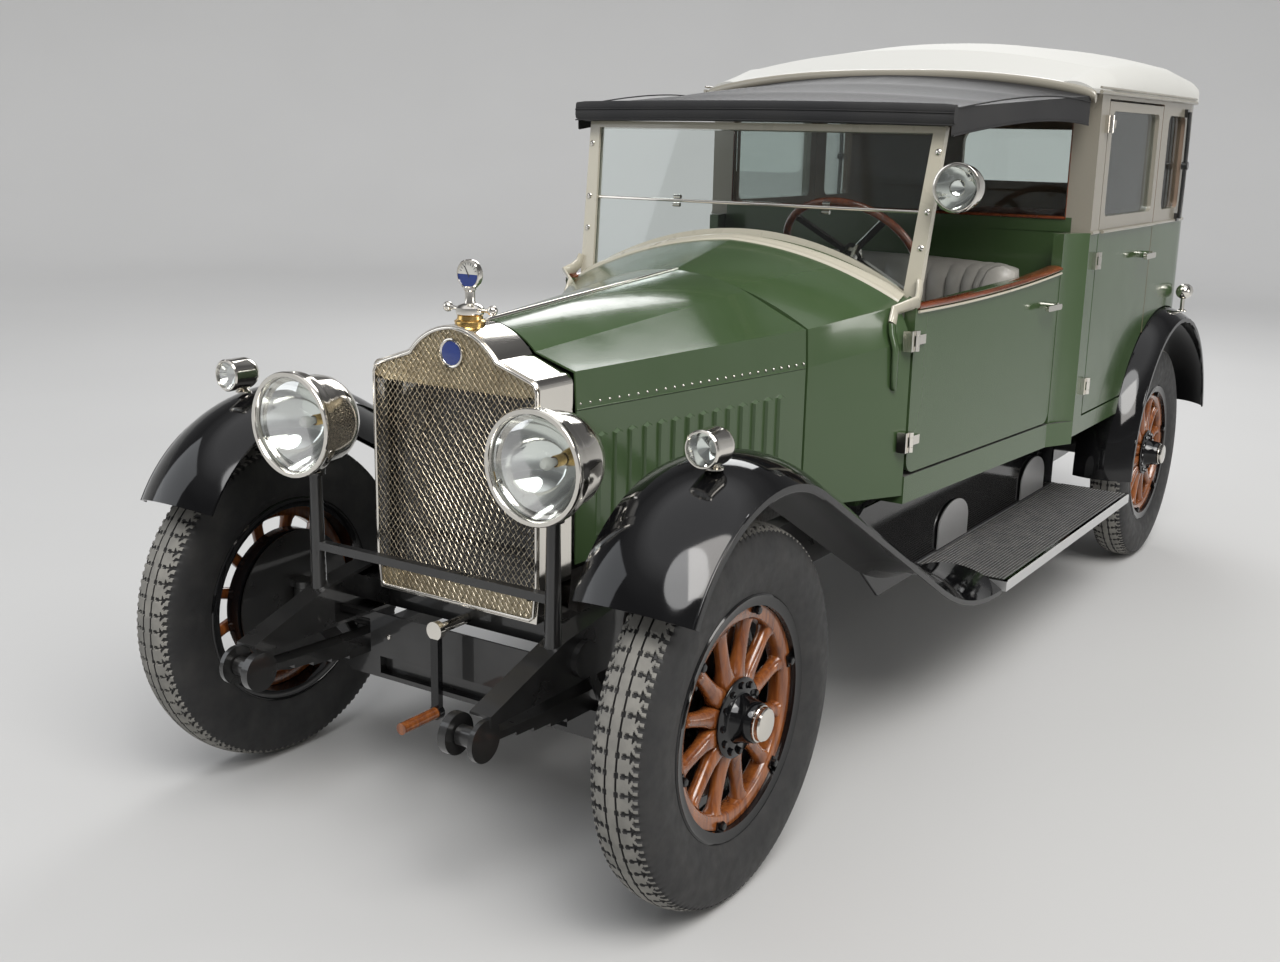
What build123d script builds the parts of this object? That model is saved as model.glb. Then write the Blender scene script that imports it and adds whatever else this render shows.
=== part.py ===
"""Open-fronted town car of the late 1920s, as separate named pieces.

Millimetres. +X is the car's left side, the front faces -Y, +Z is up.
The origin is on the ground under the middle of the car.
"""
from build123d import *
import math
import os

os.makedirs("parts", exist_ok=True)

# wheels and axles
wheelbase = 3310.0
half_track = 673.0
tyre_radius = 420.0
tyre_width = 138.0
tyre_bead_radius = 258.0
rim_flange_radius = tyre_bead_radius + 14.0
rim_seat_radius = tyre_bead_radius - 0.3
rim_inner_radius = 244.0
rim_half_width = 57.0
felloe_inner_radius = 212.0
felloe_width = 44.0
spoke_count = 12
spoke_root_width = 46.0
spoke_tip_width = 34.0
spoke_thickness = 40.0
spoke_offset = 18.0
hub_flange_radius = 88.0
hub_radius = 46.0
hub_face = 108.0
drum_radius = 186.0
drum_width = 44.0
axle_y_front = -1850.0
axle_y_rear = axle_y_front + wheelbase

# steering
kingpin_x = 575.0
kingpin_radius = 12.0
kingpin_boss_radius = 28.0
kingpin_boss_height = 84.0
yoke_gap = 1.0
yoke_thickness = 18.0
spindle_radius = 20.0
backing_plate_x = 611.0
steer_arm_length = 150.0
tie_rod_radius = 12.0

# chassis frame
rail_outer_x = 372.0
rail_flange = 56.0
rail_web = 8.0
rail_depth = 150.0
rail_top = 600.0
frame_nose_y = axle_y_front - 417.0
frame_nose_z = 424.0
nose_eye_radius = 45.0
frame_tail_y = 2165.0
kickup_height = 110.0
spring_x = 328.0
spring_width = 50.0
leaf_thickness = 8.0
leaf_count = 6
spring_pin_radius = 10.0
spring_eye_radius = 22.0
front_spring_reach = 500.0
rear_spring_reach = 620.0

# body widths, as half widths, and heights
radiator_half_width = 243.0
radiator_front_y = axle_y_front - 75.0
radiator_depth = 120.0
radiator_bottom = 548.0
radiator_shoulder = 1104.0
radiator_top = 1200.0
bonnet_rear_y = axle_y_front + 852.0
bonnet_rear_half_width = 415.0
bonnet_rear_shoulder = 1134.0
bonnet_rear_top = 1261.0
bonnet_bottom_z = 745.0
bonnet_panel = 4.0
front_hinge_z = 1020.0
rear_hinge_z = 1034.0
body_panel = 34.0
body_bottom = 655.0
floor_thickness = 24.0
screen_y = axle_y_front + 1214.0
screen_base_half = 542.0
screen_base_z = 1191.0
screen_top_half = 570.0
screen_height = 470.0
screen_rake = 9.3
door_front_y = axle_y_front + 1150.0
door_rear_y = axle_y_front + 2150.0
door_front_half = 585.0
door_rear_half = 662.0
cabin_front_y = axle_y_front + 2262.0
cabin_half = 715.0
cabin_rear_y = axle_y_front + 3780.0
cabin_corner_radius = 320.0
belt_z = 1333.0
cabin_top_z = 1772.0
rear_door_front_y = axle_y_front + 2350.0
rear_door_rear_y = axle_y_front + 3050.0
rear_door_bottom = 720.0
rear_door_top = 1752.0
door_gap = 7.0
driver_door_top = 1178.0
driver_door_bottom = 716.0
panel_clearance = 0.3

# steering column, rising rearwards to the wheel's hub
column_rise = 40.0
wheel_hub = (250.0, axle_y_front + 1440.0, 1285.0)
steering_rim_radius = 205.0
column_dir = (0, math.cos(math.radians(column_rise)), math.sin(math.radians(column_rise)))
steering_plane = Plane(origin=wheel_hub, x_dir=(1, 0, 0), z_dir=column_dir)
column_length = 1010.0
column_radius = 19.0


def save(piece, name):
    """Label one finished piece and write its STEP file."""
    piece.part.label = name
    export_step(piece.part, f"parts/{name}.step")


def mirrored(piece, name):
    """Write the copy of a left piece on the other side of the car."""
    with BuildPart() as copy:
        mirror(piece.part, about=Plane.YZ)
    save(copy, name)


# wheels: spokes with felloe in wood, rim with hub and drum in metal, tyre
wheel_places = {
    "front_left": (half_track, axle_y_front, 1),
    "front_right": (-half_track, axle_y_front, -1),
    "rear_left": (half_track, axle_y_rear, 1),
    "rear_right": (-half_track, axle_y_rear, -1),
}


def build_rim(turn, axis):
    """Return the steel rim, turned about an axle; turn has x along the axle."""
    with BuildPart() as rim:
        with BuildSketch(turn):
            with BuildLine():
                Polyline(
                    (-rim_half_width, rim_inner_radius + 6),
                    (-rim_half_width, rim_flange_radius),
                    (-rim_half_width + 6, rim_flange_radius),
                    (-rim_half_width + 10, rim_seat_radius),
                    (rim_half_width - 10, rim_seat_radius),
                    (rim_half_width - 6, rim_flange_radius),
                    (rim_half_width, rim_flange_radius),
                    (rim_half_width, rim_inner_radius + 6),
                    (rim_half_width - 12, rim_inner_radius),
                    (-rim_half_width + 12, rim_inner_radius),
                    close=True,
                )
            make_face()
        revolve(axis=axis)
    return rim.part


def build_tyre(turn, axis):
    """Return the tyre, turned about an axle; turn has x along the axle."""
    half = tyre_width / 2 - 0.2
    foot, waist = (rim_half_width - 11, tyre_bead_radius + 18), (half, tyre_bead_radius + 82)
    shoulder = (half - 16, tyre_radius - 14)
    with BuildPart() as tyre:
        with BuildSketch(turn):
            with BuildLine():
                Line((-34, tyre_bead_radius), (34, tyre_bead_radius))
                Line((34, tyre_bead_radius), foot)
                ThreePointArc(foot, waist, shoulder)
                ThreePointArc(shoulder, (0, tyre_radius), (-shoulder[0], shoulder[1]))
                ThreePointArc((-shoulder[0], shoulder[1]), (-waist[0], waist[1]), (-foot[0], foot[1]))
                Line((-foot[0], foot[1]), (-34, tyre_bead_radius))
            make_face()
        revolve(axis=axis)
    return tyre.part


def build_wheel(name, x, y, z, side):
    """Write the wood wheel with its rim, hub and drum, and the tyre of one wheel."""
    face = Plane(origin=(x, y, z), x_dir=(0, side, 0), z_dir=(side, 0, 0))
    turn = Plane(origin=(x, y, z), x_dir=(side, 0, 0), z_dir=(0, -side, 0))
    axle = Axis((x, y, z), (1, 0, 0))
    spoke_points = [
        (hub_radius + 1, -spoke_root_width / 4),
        (hub_flange_radius, -spoke_root_width / 2.1),
        (felloe_inner_radius + 4, -spoke_tip_width / 2),
        (felloe_inner_radius + 4, spoke_tip_width / 2),
        (hub_flange_radius, spoke_root_width / 2.1),
        (hub_radius + 1, spoke_root_width / 4),
    ]
    with BuildPart() as wood:
        with BuildSketch(face.offset(spoke_offset - felloe_width / 2)):
            Circle(rim_inner_radius - panel_clearance)
            Circle(felloe_inner_radius, mode=Mode.SUBTRACT)
        extrude(amount=felloe_width)
        with BuildSketch(face.offset(spoke_offset - spoke_thickness / 2)):
            with PolarLocations(0, spoke_count):
                Polygon(*spoke_points, align=None)
            Circle(hub_radius + 1, mode=Mode.SUBTRACT)
        extrude(amount=spoke_thickness)

    inner = spoke_offset - spoke_thickness / 2 - panel_clearance
    outer = spoke_offset + spoke_thickness / 2 + panel_clearance
    with BuildPart() as hub:
        with BuildSketch(turn):
            with BuildLine():
                Polyline(
                    (inner - 6, 0),
                    (inner - 6, hub_flange_radius),
                    (inner, hub_flange_radius),
                    (inner, hub_radius),
                    (outer, hub_radius),
                    (outer, hub_flange_radius),
                    (outer + 6, hub_flange_radius),
                    (outer + 8, hub_radius + 10),
                    (outer + 40, hub_radius - 4),
                    (hub_face, hub_radius - 8),
                    (hub_face + 4, hub_radius - 18),
                    (hub_face + 4, 0),
                    close=True,
                )
            make_face()
            with BuildLine():
                Polyline(
                    (inner - 14, hub_radius),
                    (inner - 14, drum_radius - 6),
                    (inner - 6 - drum_width, drum_radius - 6),
                    (inner - 6 - drum_width, drum_radius),
                    (inner - 6, drum_radius),
                    (inner - 6, hub_radius),
                    close=True,
                )
            make_face()
        revolve(axis=axle)
        with BuildSketch(face.offset(inner - 14)):
            Circle(spindle_radius + 1)
        extrude(amount=outer + 36 - inner, mode=Mode.SUBTRACT)
    with BuildPart() as wheel:
        add(build_rim(turn, axle))
        add(hub.part)
        add(wood.part)
    save(wheel, f"wheel_{name}")
    with BuildPart() as tyre:
        add(build_tyre(turn, axle))
    save(tyre, f"tyre_{name}")


for place, (wheel_x, wheel_y, wheel_side) in wheel_places.items():
    build_wheel(place, wheel_x, wheel_y, tyre_radius, wheel_side)

# spare rim and tyre behind the body
frame_tail_gap = 9.0
spare_z = 850.0
spare_y = frame_tail_y + frame_tail_gap + tyre_width / 2
spare_turn = Plane(origin=(0, spare_y, spare_z), x_dir=(0, 1, 0), z_dir=(1, 0, 0))
spare_axle = Axis((0, spare_y, spare_z), (0, 1, 0))
with BuildPart() as spare_rim:
    add(build_rim(spare_turn, spare_axle))
save(spare_rim, "spare_rim")
with BuildPart() as spare_tyre:
    add(build_tyre(spare_turn, spare_axle))
save(spare_tyre, "spare_tyre")

# chassis frame: two channel rails with a nose that curves down and a kick-up at the back
frame_side = [
    # y along the rail, height of the rail's top
    (frame_nose_y + 12, frame_nose_z + 50),
    (axle_y_front - 150, rail_top - 40),
    (axle_y_front + 120, rail_top),
    (axle_y_rear - 460, rail_top),
    (axle_y_rear - 230, rail_top + kickup_height),
    (axle_y_rear + 200, rail_top + kickup_height),
    (axle_y_rear + 480, rail_top + 30),
    (frame_tail_y, rail_top),
]
rail_depths = [24.0, 110.0, rail_depth, rail_depth, 110.0, 110.0, 120.0, 120.0]
lamp_x, lamp_y, lamp_z = 349.0, axle_y_front - 237.0, 955.0
lamp_radius = 124.0
lamp_bar_z = 655.0
crank_z = 505.0
crank_radius = 12.0
post_y = lamp_y + 70.0
damper_y = axle_y_front - 90.0
crossmembers = [
    # y of the middle, length along the car, height of the middle, depth
    (axle_y_front + 10.0, 90.0, radiator_bottom - 0.3 - 30.0, 60.0),
    (axle_y_front + 1600.0, 60.0, 575.0, 40.0),
    (axle_y_front + 2050.0, 80.0, 570.0, 50.0),
    (axle_y_rear - 700.0, 80.0, 545.0, 70.0),
    (axle_y_rear + 560.0, 70.0, 585.0, 60.0),
    (frame_tail_y - 20.0, 40.0, 575.0, 40.0),
]
spring_hangers = [
    axle_y_front + front_spring_reach,
    axle_y_rear - rear_spring_reach,
    axle_y_rear + rear_spring_reach,
]


def rail_outline(inset):
    """Points around one rail seen from the side, drawn in by an inset."""
    top = [(y, z - inset) for y, z in frame_side]
    low = [(y, z - depth + inset) for (y, z), depth in zip(frame_side, rail_depths)]
    return top + low[::-1]


with BuildPart() as chassis_frame:
    with BuildSketch(Plane.YZ.offset(rail_outer_x - rail_flange)):
        with BuildLine():
            Polyline(*rail_outline(0), close=True)
        make_face()
    extrude(amount=rail_flange)
    with BuildSketch(Plane.YZ.offset(rail_outer_x - rail_flange)):
        with BuildLine():
            Polyline(*rail_outline(rail_web)[1:-1], close=True)
        make_face()
    extrude(amount=rail_flange - rail_web, mode=Mode.SUBTRACT)
    with BuildSketch(Plane.YZ.offset(rail_outer_x - 2 * nose_eye_radius - 3)):
        with Locations((frame_nose_y, frame_nose_z)):
            Circle(nose_eye_radius)
    extrude(amount=2 * nose_eye_radius)
    with BuildSketch(Plane.YZ.offset(spring_x - spring_width / 2 - 4)):
        with Locations((frame_nose_y, frame_nose_z)):
            Circle(nose_eye_radius + 1)
            with Locations((40, 0)):
                Rectangle(80, 60)
    extrude(amount=spring_width + 8, mode=Mode.SUBTRACT)
    with BuildSketch(Plane.YZ.offset(spring_x - spring_width / 2 - 8)):
        with Locations((frame_nose_y, frame_nose_z)):
            Circle(spring_pin_radius)
    extrude(amount=spring_width + 16)
    for eye_y in spring_hangers:
        for plate_x in (spring_x - spring_width / 2 - 10, spring_x + spring_width / 2 + 2):
            with BuildSketch(Plane.YZ.offset(plate_x)):
                with Locations((eye_y, frame_nose_z + 30)):
                    Rectangle(36, 100)
            extrude(amount=8)
        with BuildSketch(Plane.YZ.offset(spring_x - spring_width / 2 - 6)):
            with Locations((eye_y, frame_nose_z)):
                Circle(spring_pin_radius)
        extrude(amount=spring_width + 12)
    mirror(about=Plane.YZ)
    for bar_y, bar_length, bar_z, bar_depth in crossmembers:
        with Locations((0, bar_y, bar_z)):
            Box(2 * rail_outer_x - 2 * rail_web, bar_length, bar_depth)
    with BuildSketch(Plane.XZ.offset(-axle_y_front - 200)):
        with Locations((0, crank_z)):
            Circle(crank_radius + panel_clearance)
    extrude(amount=400, mode=Mode.SUBTRACT)
    for lamp_side in (-1, 1):
        with BuildSketch(Plane.XY.offset(rail_top - 90)):
            with Locations((lamp_side * lamp_x, post_y)):
                Circle(20)
        with BuildSketch(Plane.XY.offset(lamp_z - 129)):
            with Locations((lamp_side * lamp_x, post_y)):
                Circle(15)
        loft()
        with BuildSketch(Plane.XY.offset(lamp_z - 129)):
            with Locations((lamp_side * lamp_x, post_y)):
                Circle(24)
        extrude(amount=20)
        damper_x = lamp_side * (rail_outer_x + 7)
        with Locations((damper_x, damper_y, 505)):
            Cylinder(42, 16, rotation=(0, 90, 0))
        with BuildSketch(Plane.YZ.offset(damper_x - 4)):
            with BuildLine():
                Polyline(
                    (damper_y - 12, 505),
                    (axle_y_front - 36, 390),
                    (axle_y_front - 12, 390),
                    (damper_y + 14, 505),
                    close=True,
                )
            make_face()
        extrude(amount=8)
    with Locations((0, post_y, lamp_bar_z)):
        Box(2 * lamp_x, 20, 20)
    bar_height = spare_z - rail_top + 40
    for bar_x in (-150, 150):
        with Locations((bar_x, frame_tail_y - 20, rail_top - 20 + bar_height / 2)):
            Box(24, 24, bar_height)
    with Locations((0, frame_tail_y - 20, spare_z)):
        Box(324, 24, 40)
    with BuildSketch(Plane.XZ.offset(-frame_tail_y + 20)):
        with Locations((0, spare_z)):
            Circle(34)
    extrude(amount=-(spare_y - frame_tail_y + 30))
    with BuildSketch(Plane.XZ.offset(-spare_y + 12)):
        with Locations((0, spare_z)):
            with PolarLocations(rim_inner_radius / 2, 3, start_angle=90):
                Rectangle(rim_inner_radius - 2, 36)
    extrude(amount=-24)
save(chassis_frame, "chassis_frame")

# front axle beam with an upright boss at each end for the kingpin
axle_beam_z = 322.0
beam_width = 56.0
beam_depth = 70.0
boss_z = tyre_radius
with BuildPart() as front_axle:
    with BuildSketch(Plane.XZ.offset(-axle_y_front - beam_width / 2)):
        with BuildLine():
            Polyline(
                (-kingpin_x, boss_z + 30),
                (-kingpin_x + 70, boss_z + 10),
                (-spring_x - 60, axle_beam_z + beam_depth / 2),
                (spring_x + 60, axle_beam_z + beam_depth / 2),
                (kingpin_x - 70, boss_z + 10),
                (kingpin_x, boss_z + 30),
                (kingpin_x, boss_z - 30),
                (kingpin_x - 50, boss_z - 40),
                (spring_x + 60, axle_beam_z - beam_depth / 2),
                (-spring_x - 60, axle_beam_z - beam_depth / 2),
                (-kingpin_x + 50, boss_z - 40),
                (-kingpin_x, boss_z - 30),
                close=True,
            )
        make_face()
    extrude(amount=beam_width)
    with BuildSketch(Plane.XZ.offset(-axle_y_front - beam_width / 2)):
        with Locations((0, axle_beam_z)):
            Rectangle(2 * spring_x - 80, beam_depth - 24)
    extrude(amount=beam_width / 2 - 6, mode=Mode.SUBTRACT)
    with BuildSketch(Plane.XZ.offset(-axle_y_front + 6)):
        with Locations((0, axle_beam_z)):
            Rectangle(2 * spring_x - 80, beam_depth - 24)
    extrude(amount=beam_width / 2 - 6, mode=Mode.SUBTRACT)
    with BuildSketch(Plane.XY.offset(boss_z - kingpin_boss_height / 2)):
        for pin_x in (-kingpin_x, kingpin_x):
            with Locations((pin_x, axle_y_front)):
                Circle(kingpin_boss_radius)
    extrude(amount=kingpin_boss_height)
    with BuildSketch(Plane.XY.offset(boss_z - kingpin_boss_height / 2 - 50)):
        for pin_x in (-kingpin_x, kingpin_x):
            with Locations((pin_x, axle_y_front)):
                Circle(kingpin_radius + panel_clearance)
    extrude(amount=kingpin_boss_height + 100, mode=Mode.SUBTRACT)
save(front_axle, "front_axle")

# knuckle: yoke, kingpin, spindle, brake backing plate and steering arm
yoke_low = boss_z - kingpin_boss_height / 2 - yoke_gap - yoke_thickness
yoke_high = boss_z + kingpin_boss_height / 2 + yoke_gap
arm_z = yoke_low + yoke_thickness / 2
arm_pin_x = kingpin_x
arm_pin_y = axle_y_front + steer_arm_length
with BuildPart() as knuckle:
    for yoke_z in (yoke_low, yoke_high):
        with BuildSketch(Plane.XY.offset(yoke_z)):
            with Locations((kingpin_x, axle_y_front)):
                Circle(kingpin_boss_radius)
            with Locations(((kingpin_x + backing_plate_x) / 2, axle_y_front)):
                Rectangle(backing_plate_x - kingpin_x, 1.7 * kingpin_boss_radius)
        extrude(amount=yoke_thickness)
    with BuildSketch(Plane.XY.offset(yoke_low)):
        with Locations((kingpin_x, axle_y_front)):
            Circle(kingpin_radius)
    extrude(amount=yoke_high + yoke_thickness - yoke_low)
    with BuildSketch(Plane.YZ.offset(backing_plate_x - 6)):
        with Locations((axle_y_front, tyre_radius)):
            Circle(drum_radius)
    extrude(amount=4)
    with BuildSketch(Plane.YZ.offset(backing_plate_x - 4)):
        with Locations((axle_y_front, tyre_radius)):
            Circle(spindle_radius)
    extrude(amount=half_track + spoke_offset + 34 - backing_plate_x)
    with BuildSketch(Plane.XY.offset(yoke_low)):
        with BuildLine():
            Polyline(
                (kingpin_x - 20, axle_y_front + 10),
                (arm_pin_x - 14, arm_pin_y),
                (arm_pin_x + 14, arm_pin_y),
                (kingpin_x + 22, axle_y_front + 10),
                close=True,
            )
        make_face()
        with Locations((arm_pin_x, arm_pin_y)):
            Circle(16)
    extrude(amount=yoke_thickness)
    with BuildSketch(Plane.XY.offset(yoke_low - 30)):
        with Locations((arm_pin_x, arm_pin_y)):
            Circle(8)
    extrude(amount=32)
save(knuckle, "knuckle_left")
mirrored(knuckle, "knuckle_right")

# tie rod between the two steering arms, with an eye under each arm
with BuildPart() as tie_rod:
    rod_z = yoke_low - 20
    with BuildSketch(Plane.YZ.offset(-arm_pin_x + 16)):
        with Locations((arm_pin_y, rod_z)):
            Circle(tie_rod_radius)
    extrude(amount=2 * arm_pin_x - 32)
    with BuildSketch(Plane.XY.offset(rod_z - 8)):
        for eye_x in (-arm_pin_x, arm_pin_x):
            with Locations((eye_x, arm_pin_y)):
                Circle(20)
    extrude(amount=16)
    with BuildSketch(Plane.XY.offset(rod_z - 20)):
        for eye_x in (-arm_pin_x, arm_pin_x):
            with Locations((eye_x, arm_pin_y)):
                Circle(8 + panel_clearance)
    extrude(amount=40, mode=Mode.SUBTRACT)
save(tie_rod, "tie_rod")


def build_springs(y_front_eye, y_rear_eye, sag):
    """Return a pair of leaf springs with an eye at each end of the main leaf."""
    middle = (y_front_eye + y_rear_eye) / 2
    half = (y_rear_eye - y_front_eye) / 2
    radius = (half * half + sag * sag) / (2 * sag)
    inner_x = spring_x - spring_width / 2
    with BuildPart() as springs:
        for leaf in range(leaf_count):
            reach = half * (1.0 - 0.13 * leaf)
            upper = frame_nose_z - sag - leaf * leaf_thickness
            lower = upper - leaf_thickness
            rise = radius - math.sqrt(radius * radius - reach * reach)
            left, right = middle - reach, middle + reach
            with BuildSketch(Plane.YZ.offset(inner_x)):
                with BuildLine():
                    ThreePointArc((left, upper + rise), (middle, upper), (right, upper + rise))
                    Line((right, upper + rise), (right, lower + rise))
                    ThreePointArc((right, lower + rise), (middle, lower), (left, lower + rise))
                    Line((left, lower + rise), (left, upper + rise))
                make_face()
            extrude(amount=spring_width)
        with BuildSketch(Plane.YZ.offset(inner_x)):
            with Locations((y_front_eye, frame_nose_z), (y_rear_eye, frame_nose_z)):
                Circle(spring_eye_radius)
        extrude(amount=spring_width)
        with BuildSketch(Plane.YZ.offset(inner_x)):
            with Locations((y_front_eye, frame_nose_z), (y_rear_eye, frame_nose_z)):
                Circle(spring_pin_radius + panel_clearance)
        extrude(amount=spring_width, mode=Mode.SUBTRACT)
        mirror(about=Plane.YZ)
    return springs.part


front_pack_top = axle_beam_z + beam_depth / 2 + panel_clearance + leaf_count * leaf_thickness
axle_tube_radius = 40.0
with BuildPart() as leaf_springs:
    add(
        build_springs(
            frame_nose_y,
            axle_y_front + front_spring_reach,
            frame_nose_z - front_pack_top,
        )
    )
    add(
        build_springs(
            axle_y_rear - rear_spring_reach,
            axle_y_rear + rear_spring_reach,
            frame_nose_z - tyre_radius + axle_tube_radius + panel_clearance,
        )
    )
save(leaf_springs, "leaf_springs")

# rear axle: tube, round differential case, backing plates and the torque tube
gearbox_rear_y = axle_y_front + 1560.0
with BuildPart() as rear_axle:
    with BuildSketch(Plane.YZ.offset(-backing_plate_x + 4)):
        with Locations((axle_y_rear, tyre_radius)):
            Circle(axle_tube_radius)
    extrude(amount=2 * backing_plate_x - 8)
    with BuildSketch(Plane.YZ.offset(-half_track - spoke_offset - 34)):
        with Locations((axle_y_rear, tyre_radius)):
            Circle(spindle_radius)
    extrude(amount=2 * (half_track + spoke_offset + 34))
    for plate_x in (-backing_plate_x + 2, backing_plate_x - 6):
        with BuildSketch(Plane.YZ.offset(plate_x)):
            with Locations((axle_y_rear, tyre_radius)):
                Circle(drum_radius)
        extrude(amount=4)
    with Locations((0, axle_y_rear, tyre_radius)):
        Sphere(140)
    with BuildSketch(Plane.XZ.offset(-axle_y_rear)):
        with Locations((0, tyre_radius)):
            Circle(80)
    with BuildSketch(Plane.XZ.offset(-axle_y_rear + 320)):
        with Locations((0, tyre_radius + 12)):
            Circle(38)
    loft()
    tube_run = axle_y_rear - 300 - gearbox_rear_y
    tube_rise = 60.0
    torque_tube = Plane(
        origin=(0, axle_y_rear - 300, tyre_radius + 12), z_dir=(0, -tube_run, tube_rise)
    )
    with BuildSketch(torque_tube):
        Circle(36)
    extrude(amount=math.hypot(tube_run, tube_rise))
save(rear_axle, "rear_axle")

# engine as one block at its real place, with bell housing and gearbox
engine_front_y = axle_y_front + 90.0
engine_rear_y = axle_y_front + 840.0
engine_base = 440.0
with BuildPart() as engine:
    with Locations((0, (engine_front_y + engine_rear_y) / 2, engine_base + 90)):
        Box(380, engine_rear_y - engine_front_y, 180)
    with Locations((0, (engine_front_y + engine_rear_y) / 2, engine_base + 400)):
        Box(230, engine_rear_y - engine_front_y - 40, 480)
    with BuildSketch(Plane.XZ.offset(-engine_rear_y)):
        with Locations((0, engine_base + 130)):
            Circle(190)
    with BuildSketch(Plane.XZ.offset(-engine_rear_y - 150)):
        with Locations((0, engine_base + 100)):
            Circle(110)
    loft()
    with BuildSketch(Plane.XZ.offset(-engine_rear_y - 150)):
        with Locations((0, engine_base + 80)):
            Rectangle(220, 180)
    extrude(amount=-(gearbox_rear_y - 2 - engine_rear_y - 150))
    for arm_y in (engine_front_y + 80, engine_rear_y - 60):
        with Locations((0, arm_y, 530)):
            Box(2 * (rail_outer_x - rail_web) - 2 * panel_clearance, 50, 40)
save(engine, "engine")

# exhaust: pipe, silencer and tail pipe bent over the rear axle
exhaust_x = -235.0
silencer_radius = 75.0
exhaust_low = 380.0
with BuildPart() as exhaust:
    with BuildLine() as exhaust_path:
        FilletPolyline(
            (exhaust_x, engine_front_y + 500, exhaust_low),
            (exhaust_x, axle_y_rear - 330, exhaust_low),
            (exhaust_x, axle_y_rear - 130, exhaust_low + 150),
            (exhaust_x, axle_y_rear + 130, exhaust_low + 150),
            (exhaust_x, axle_y_rear + 330, exhaust_low),
            (exhaust_x, axle_y_rear + 440, exhaust_low),
            radius=100,
        )
    with BuildSketch(Plane.XZ.offset(-engine_front_y - 500)):
        with Locations((exhaust_x, exhaust_low)):
            Circle(26)
    sweep(path=exhaust_path.line)
    with BuildSketch(Plane.XZ.offset(-axle_y_front - 1950)):
        with Locations((exhaust_x, exhaust_low)):
            Circle(silencer_radius)
    extrude(amount=-620)
    for hanger_y, seat_z in (
        (axle_y_front + 2050.0, 545.0 - panel_clearance),
        (axle_y_rear - 700.0, 510.0 - panel_clearance),
    ):
        with Locations((exhaust_x, hanger_y, (exhaust_low + seat_z) / 2)):
            Box(30, 6, seat_z - exhaust_low)
save(exhaust, "exhaust")

# fuel tank slung between the rails at the back
tank_half_height = 78.0
with BuildPart() as fuel_tank:
    with BuildSketch(Plane.YZ.offset(-rail_outer_x + rail_flange + 30)):
        with Locations((axle_y_rear + 560, 555 - tank_half_height - panel_clearance)):
            Ellipse(100, tank_half_height)
    extrude(amount=2 * (rail_outer_x - rail_flange - 30))
save(fuel_tank, "fuel_tank")


# radiator: shouldered shell, core, and a stone guard of two layers of slanting wires
shell_rim = 30.0
guard_pitch = 22.0
guard_wire = 3.0
guard_angle = 34.0
core_depth = 60.0


def radiator_outline(inset):
    """Named points of the shell's front outline, drawn in by an inset."""
    half = radiator_half_width - inset
    return {
        "foot": (half - 8, radiator_bottom + inset),
        "knee": (half, radiator_bottom + 80),
        "shoulder": (half, radiator_shoulder - 24 - inset),
        "corner": (half - 26, radiator_shoulder - inset),
        "neck": (half - 112, radiator_shoulder + 30 - inset),
        "crown": (0, radiator_top - inset),
    }


def build_radiator_face(plane, inset, depth):
    """Return a solid with the radiator's outline, as deep as asked."""
    spots = radiator_outline(inset)
    with BuildPart() as solid:
        with BuildSketch(plane):
            with BuildLine():
                Polyline((0, spots["foot"][1]), spots["foot"], spots["knee"], spots["shoulder"])
                RadiusArc(spots["shoulder"], spots["corner"], -26)
                Line(spots["corner"], spots["neck"])
                ThreePointArc(
                    spots["neck"], (spots["neck"][0] * 0.55, spots["crown"][1] - 18), spots["crown"]
                )
                Line(spots["crown"], (0, spots["foot"][1]))
            make_face()
            mirror(about=Plane.YZ)
        extrude(amount=depth)
    return solid.part


radiator_back = Plane.XZ.offset(-radiator_front_y - radiator_depth)
with BuildPart() as radiator_shell:
    add(build_radiator_face(radiator_back, 0, radiator_depth))
    add(
        build_radiator_face(Plane.XZ.offset(-radiator_front_y - 14), shell_rim, 20),
        mode=Mode.SUBTRACT,
    )
    add(
        build_radiator_face(radiator_back.offset(-1), 5, radiator_depth - 13),
        mode=Mode.SUBTRACT,
    )
save(radiator_shell, "radiator_shell")

with BuildPart() as radiator_core:
    add(build_radiator_face(radiator_back.offset(30), 5.2, core_depth))
save(radiator_core, "radiator_core")

guard_y = radiator_front_y + 4.0
guard_inset = shell_rim + 0.5
guard_edge = 6.0
guard_middle = (radiator_bottom + radiator_shoulder) / 2
guard_back = Plane.XZ.offset(-guard_y - 2 * guard_wire)
with BuildPart() as stone_guard:
    wire_reach = math.hypot(radiator_half_width, radiator_top - guard_middle)
    wire_rows = int(wire_reach / guard_pitch)
    for layer, lean in enumerate((guard_angle, -guard_angle)):
        with BuildSketch(guard_back.offset(layer * (guard_wire + panel_clearance))):
            with Locations(Location((0, guard_middle), lean)):
                with GridLocations(0, guard_pitch, 1, 2 * wire_rows + 1):
                    Rectangle(2 * wire_reach, guard_wire - 0.4)
        extrude(amount=guard_wire - 0.4)
    add(build_radiator_face(guard_back, guard_inset + 2, 2 * guard_wire), mode=Mode.INTERSECT)
    add(
        build_radiator_face(guard_back, guard_inset, 2 * guard_wire)
        - build_radiator_face(guard_back, guard_inset + guard_edge, 2 * guard_wire)
    )
save(stone_guard, "stone_guard")

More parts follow.
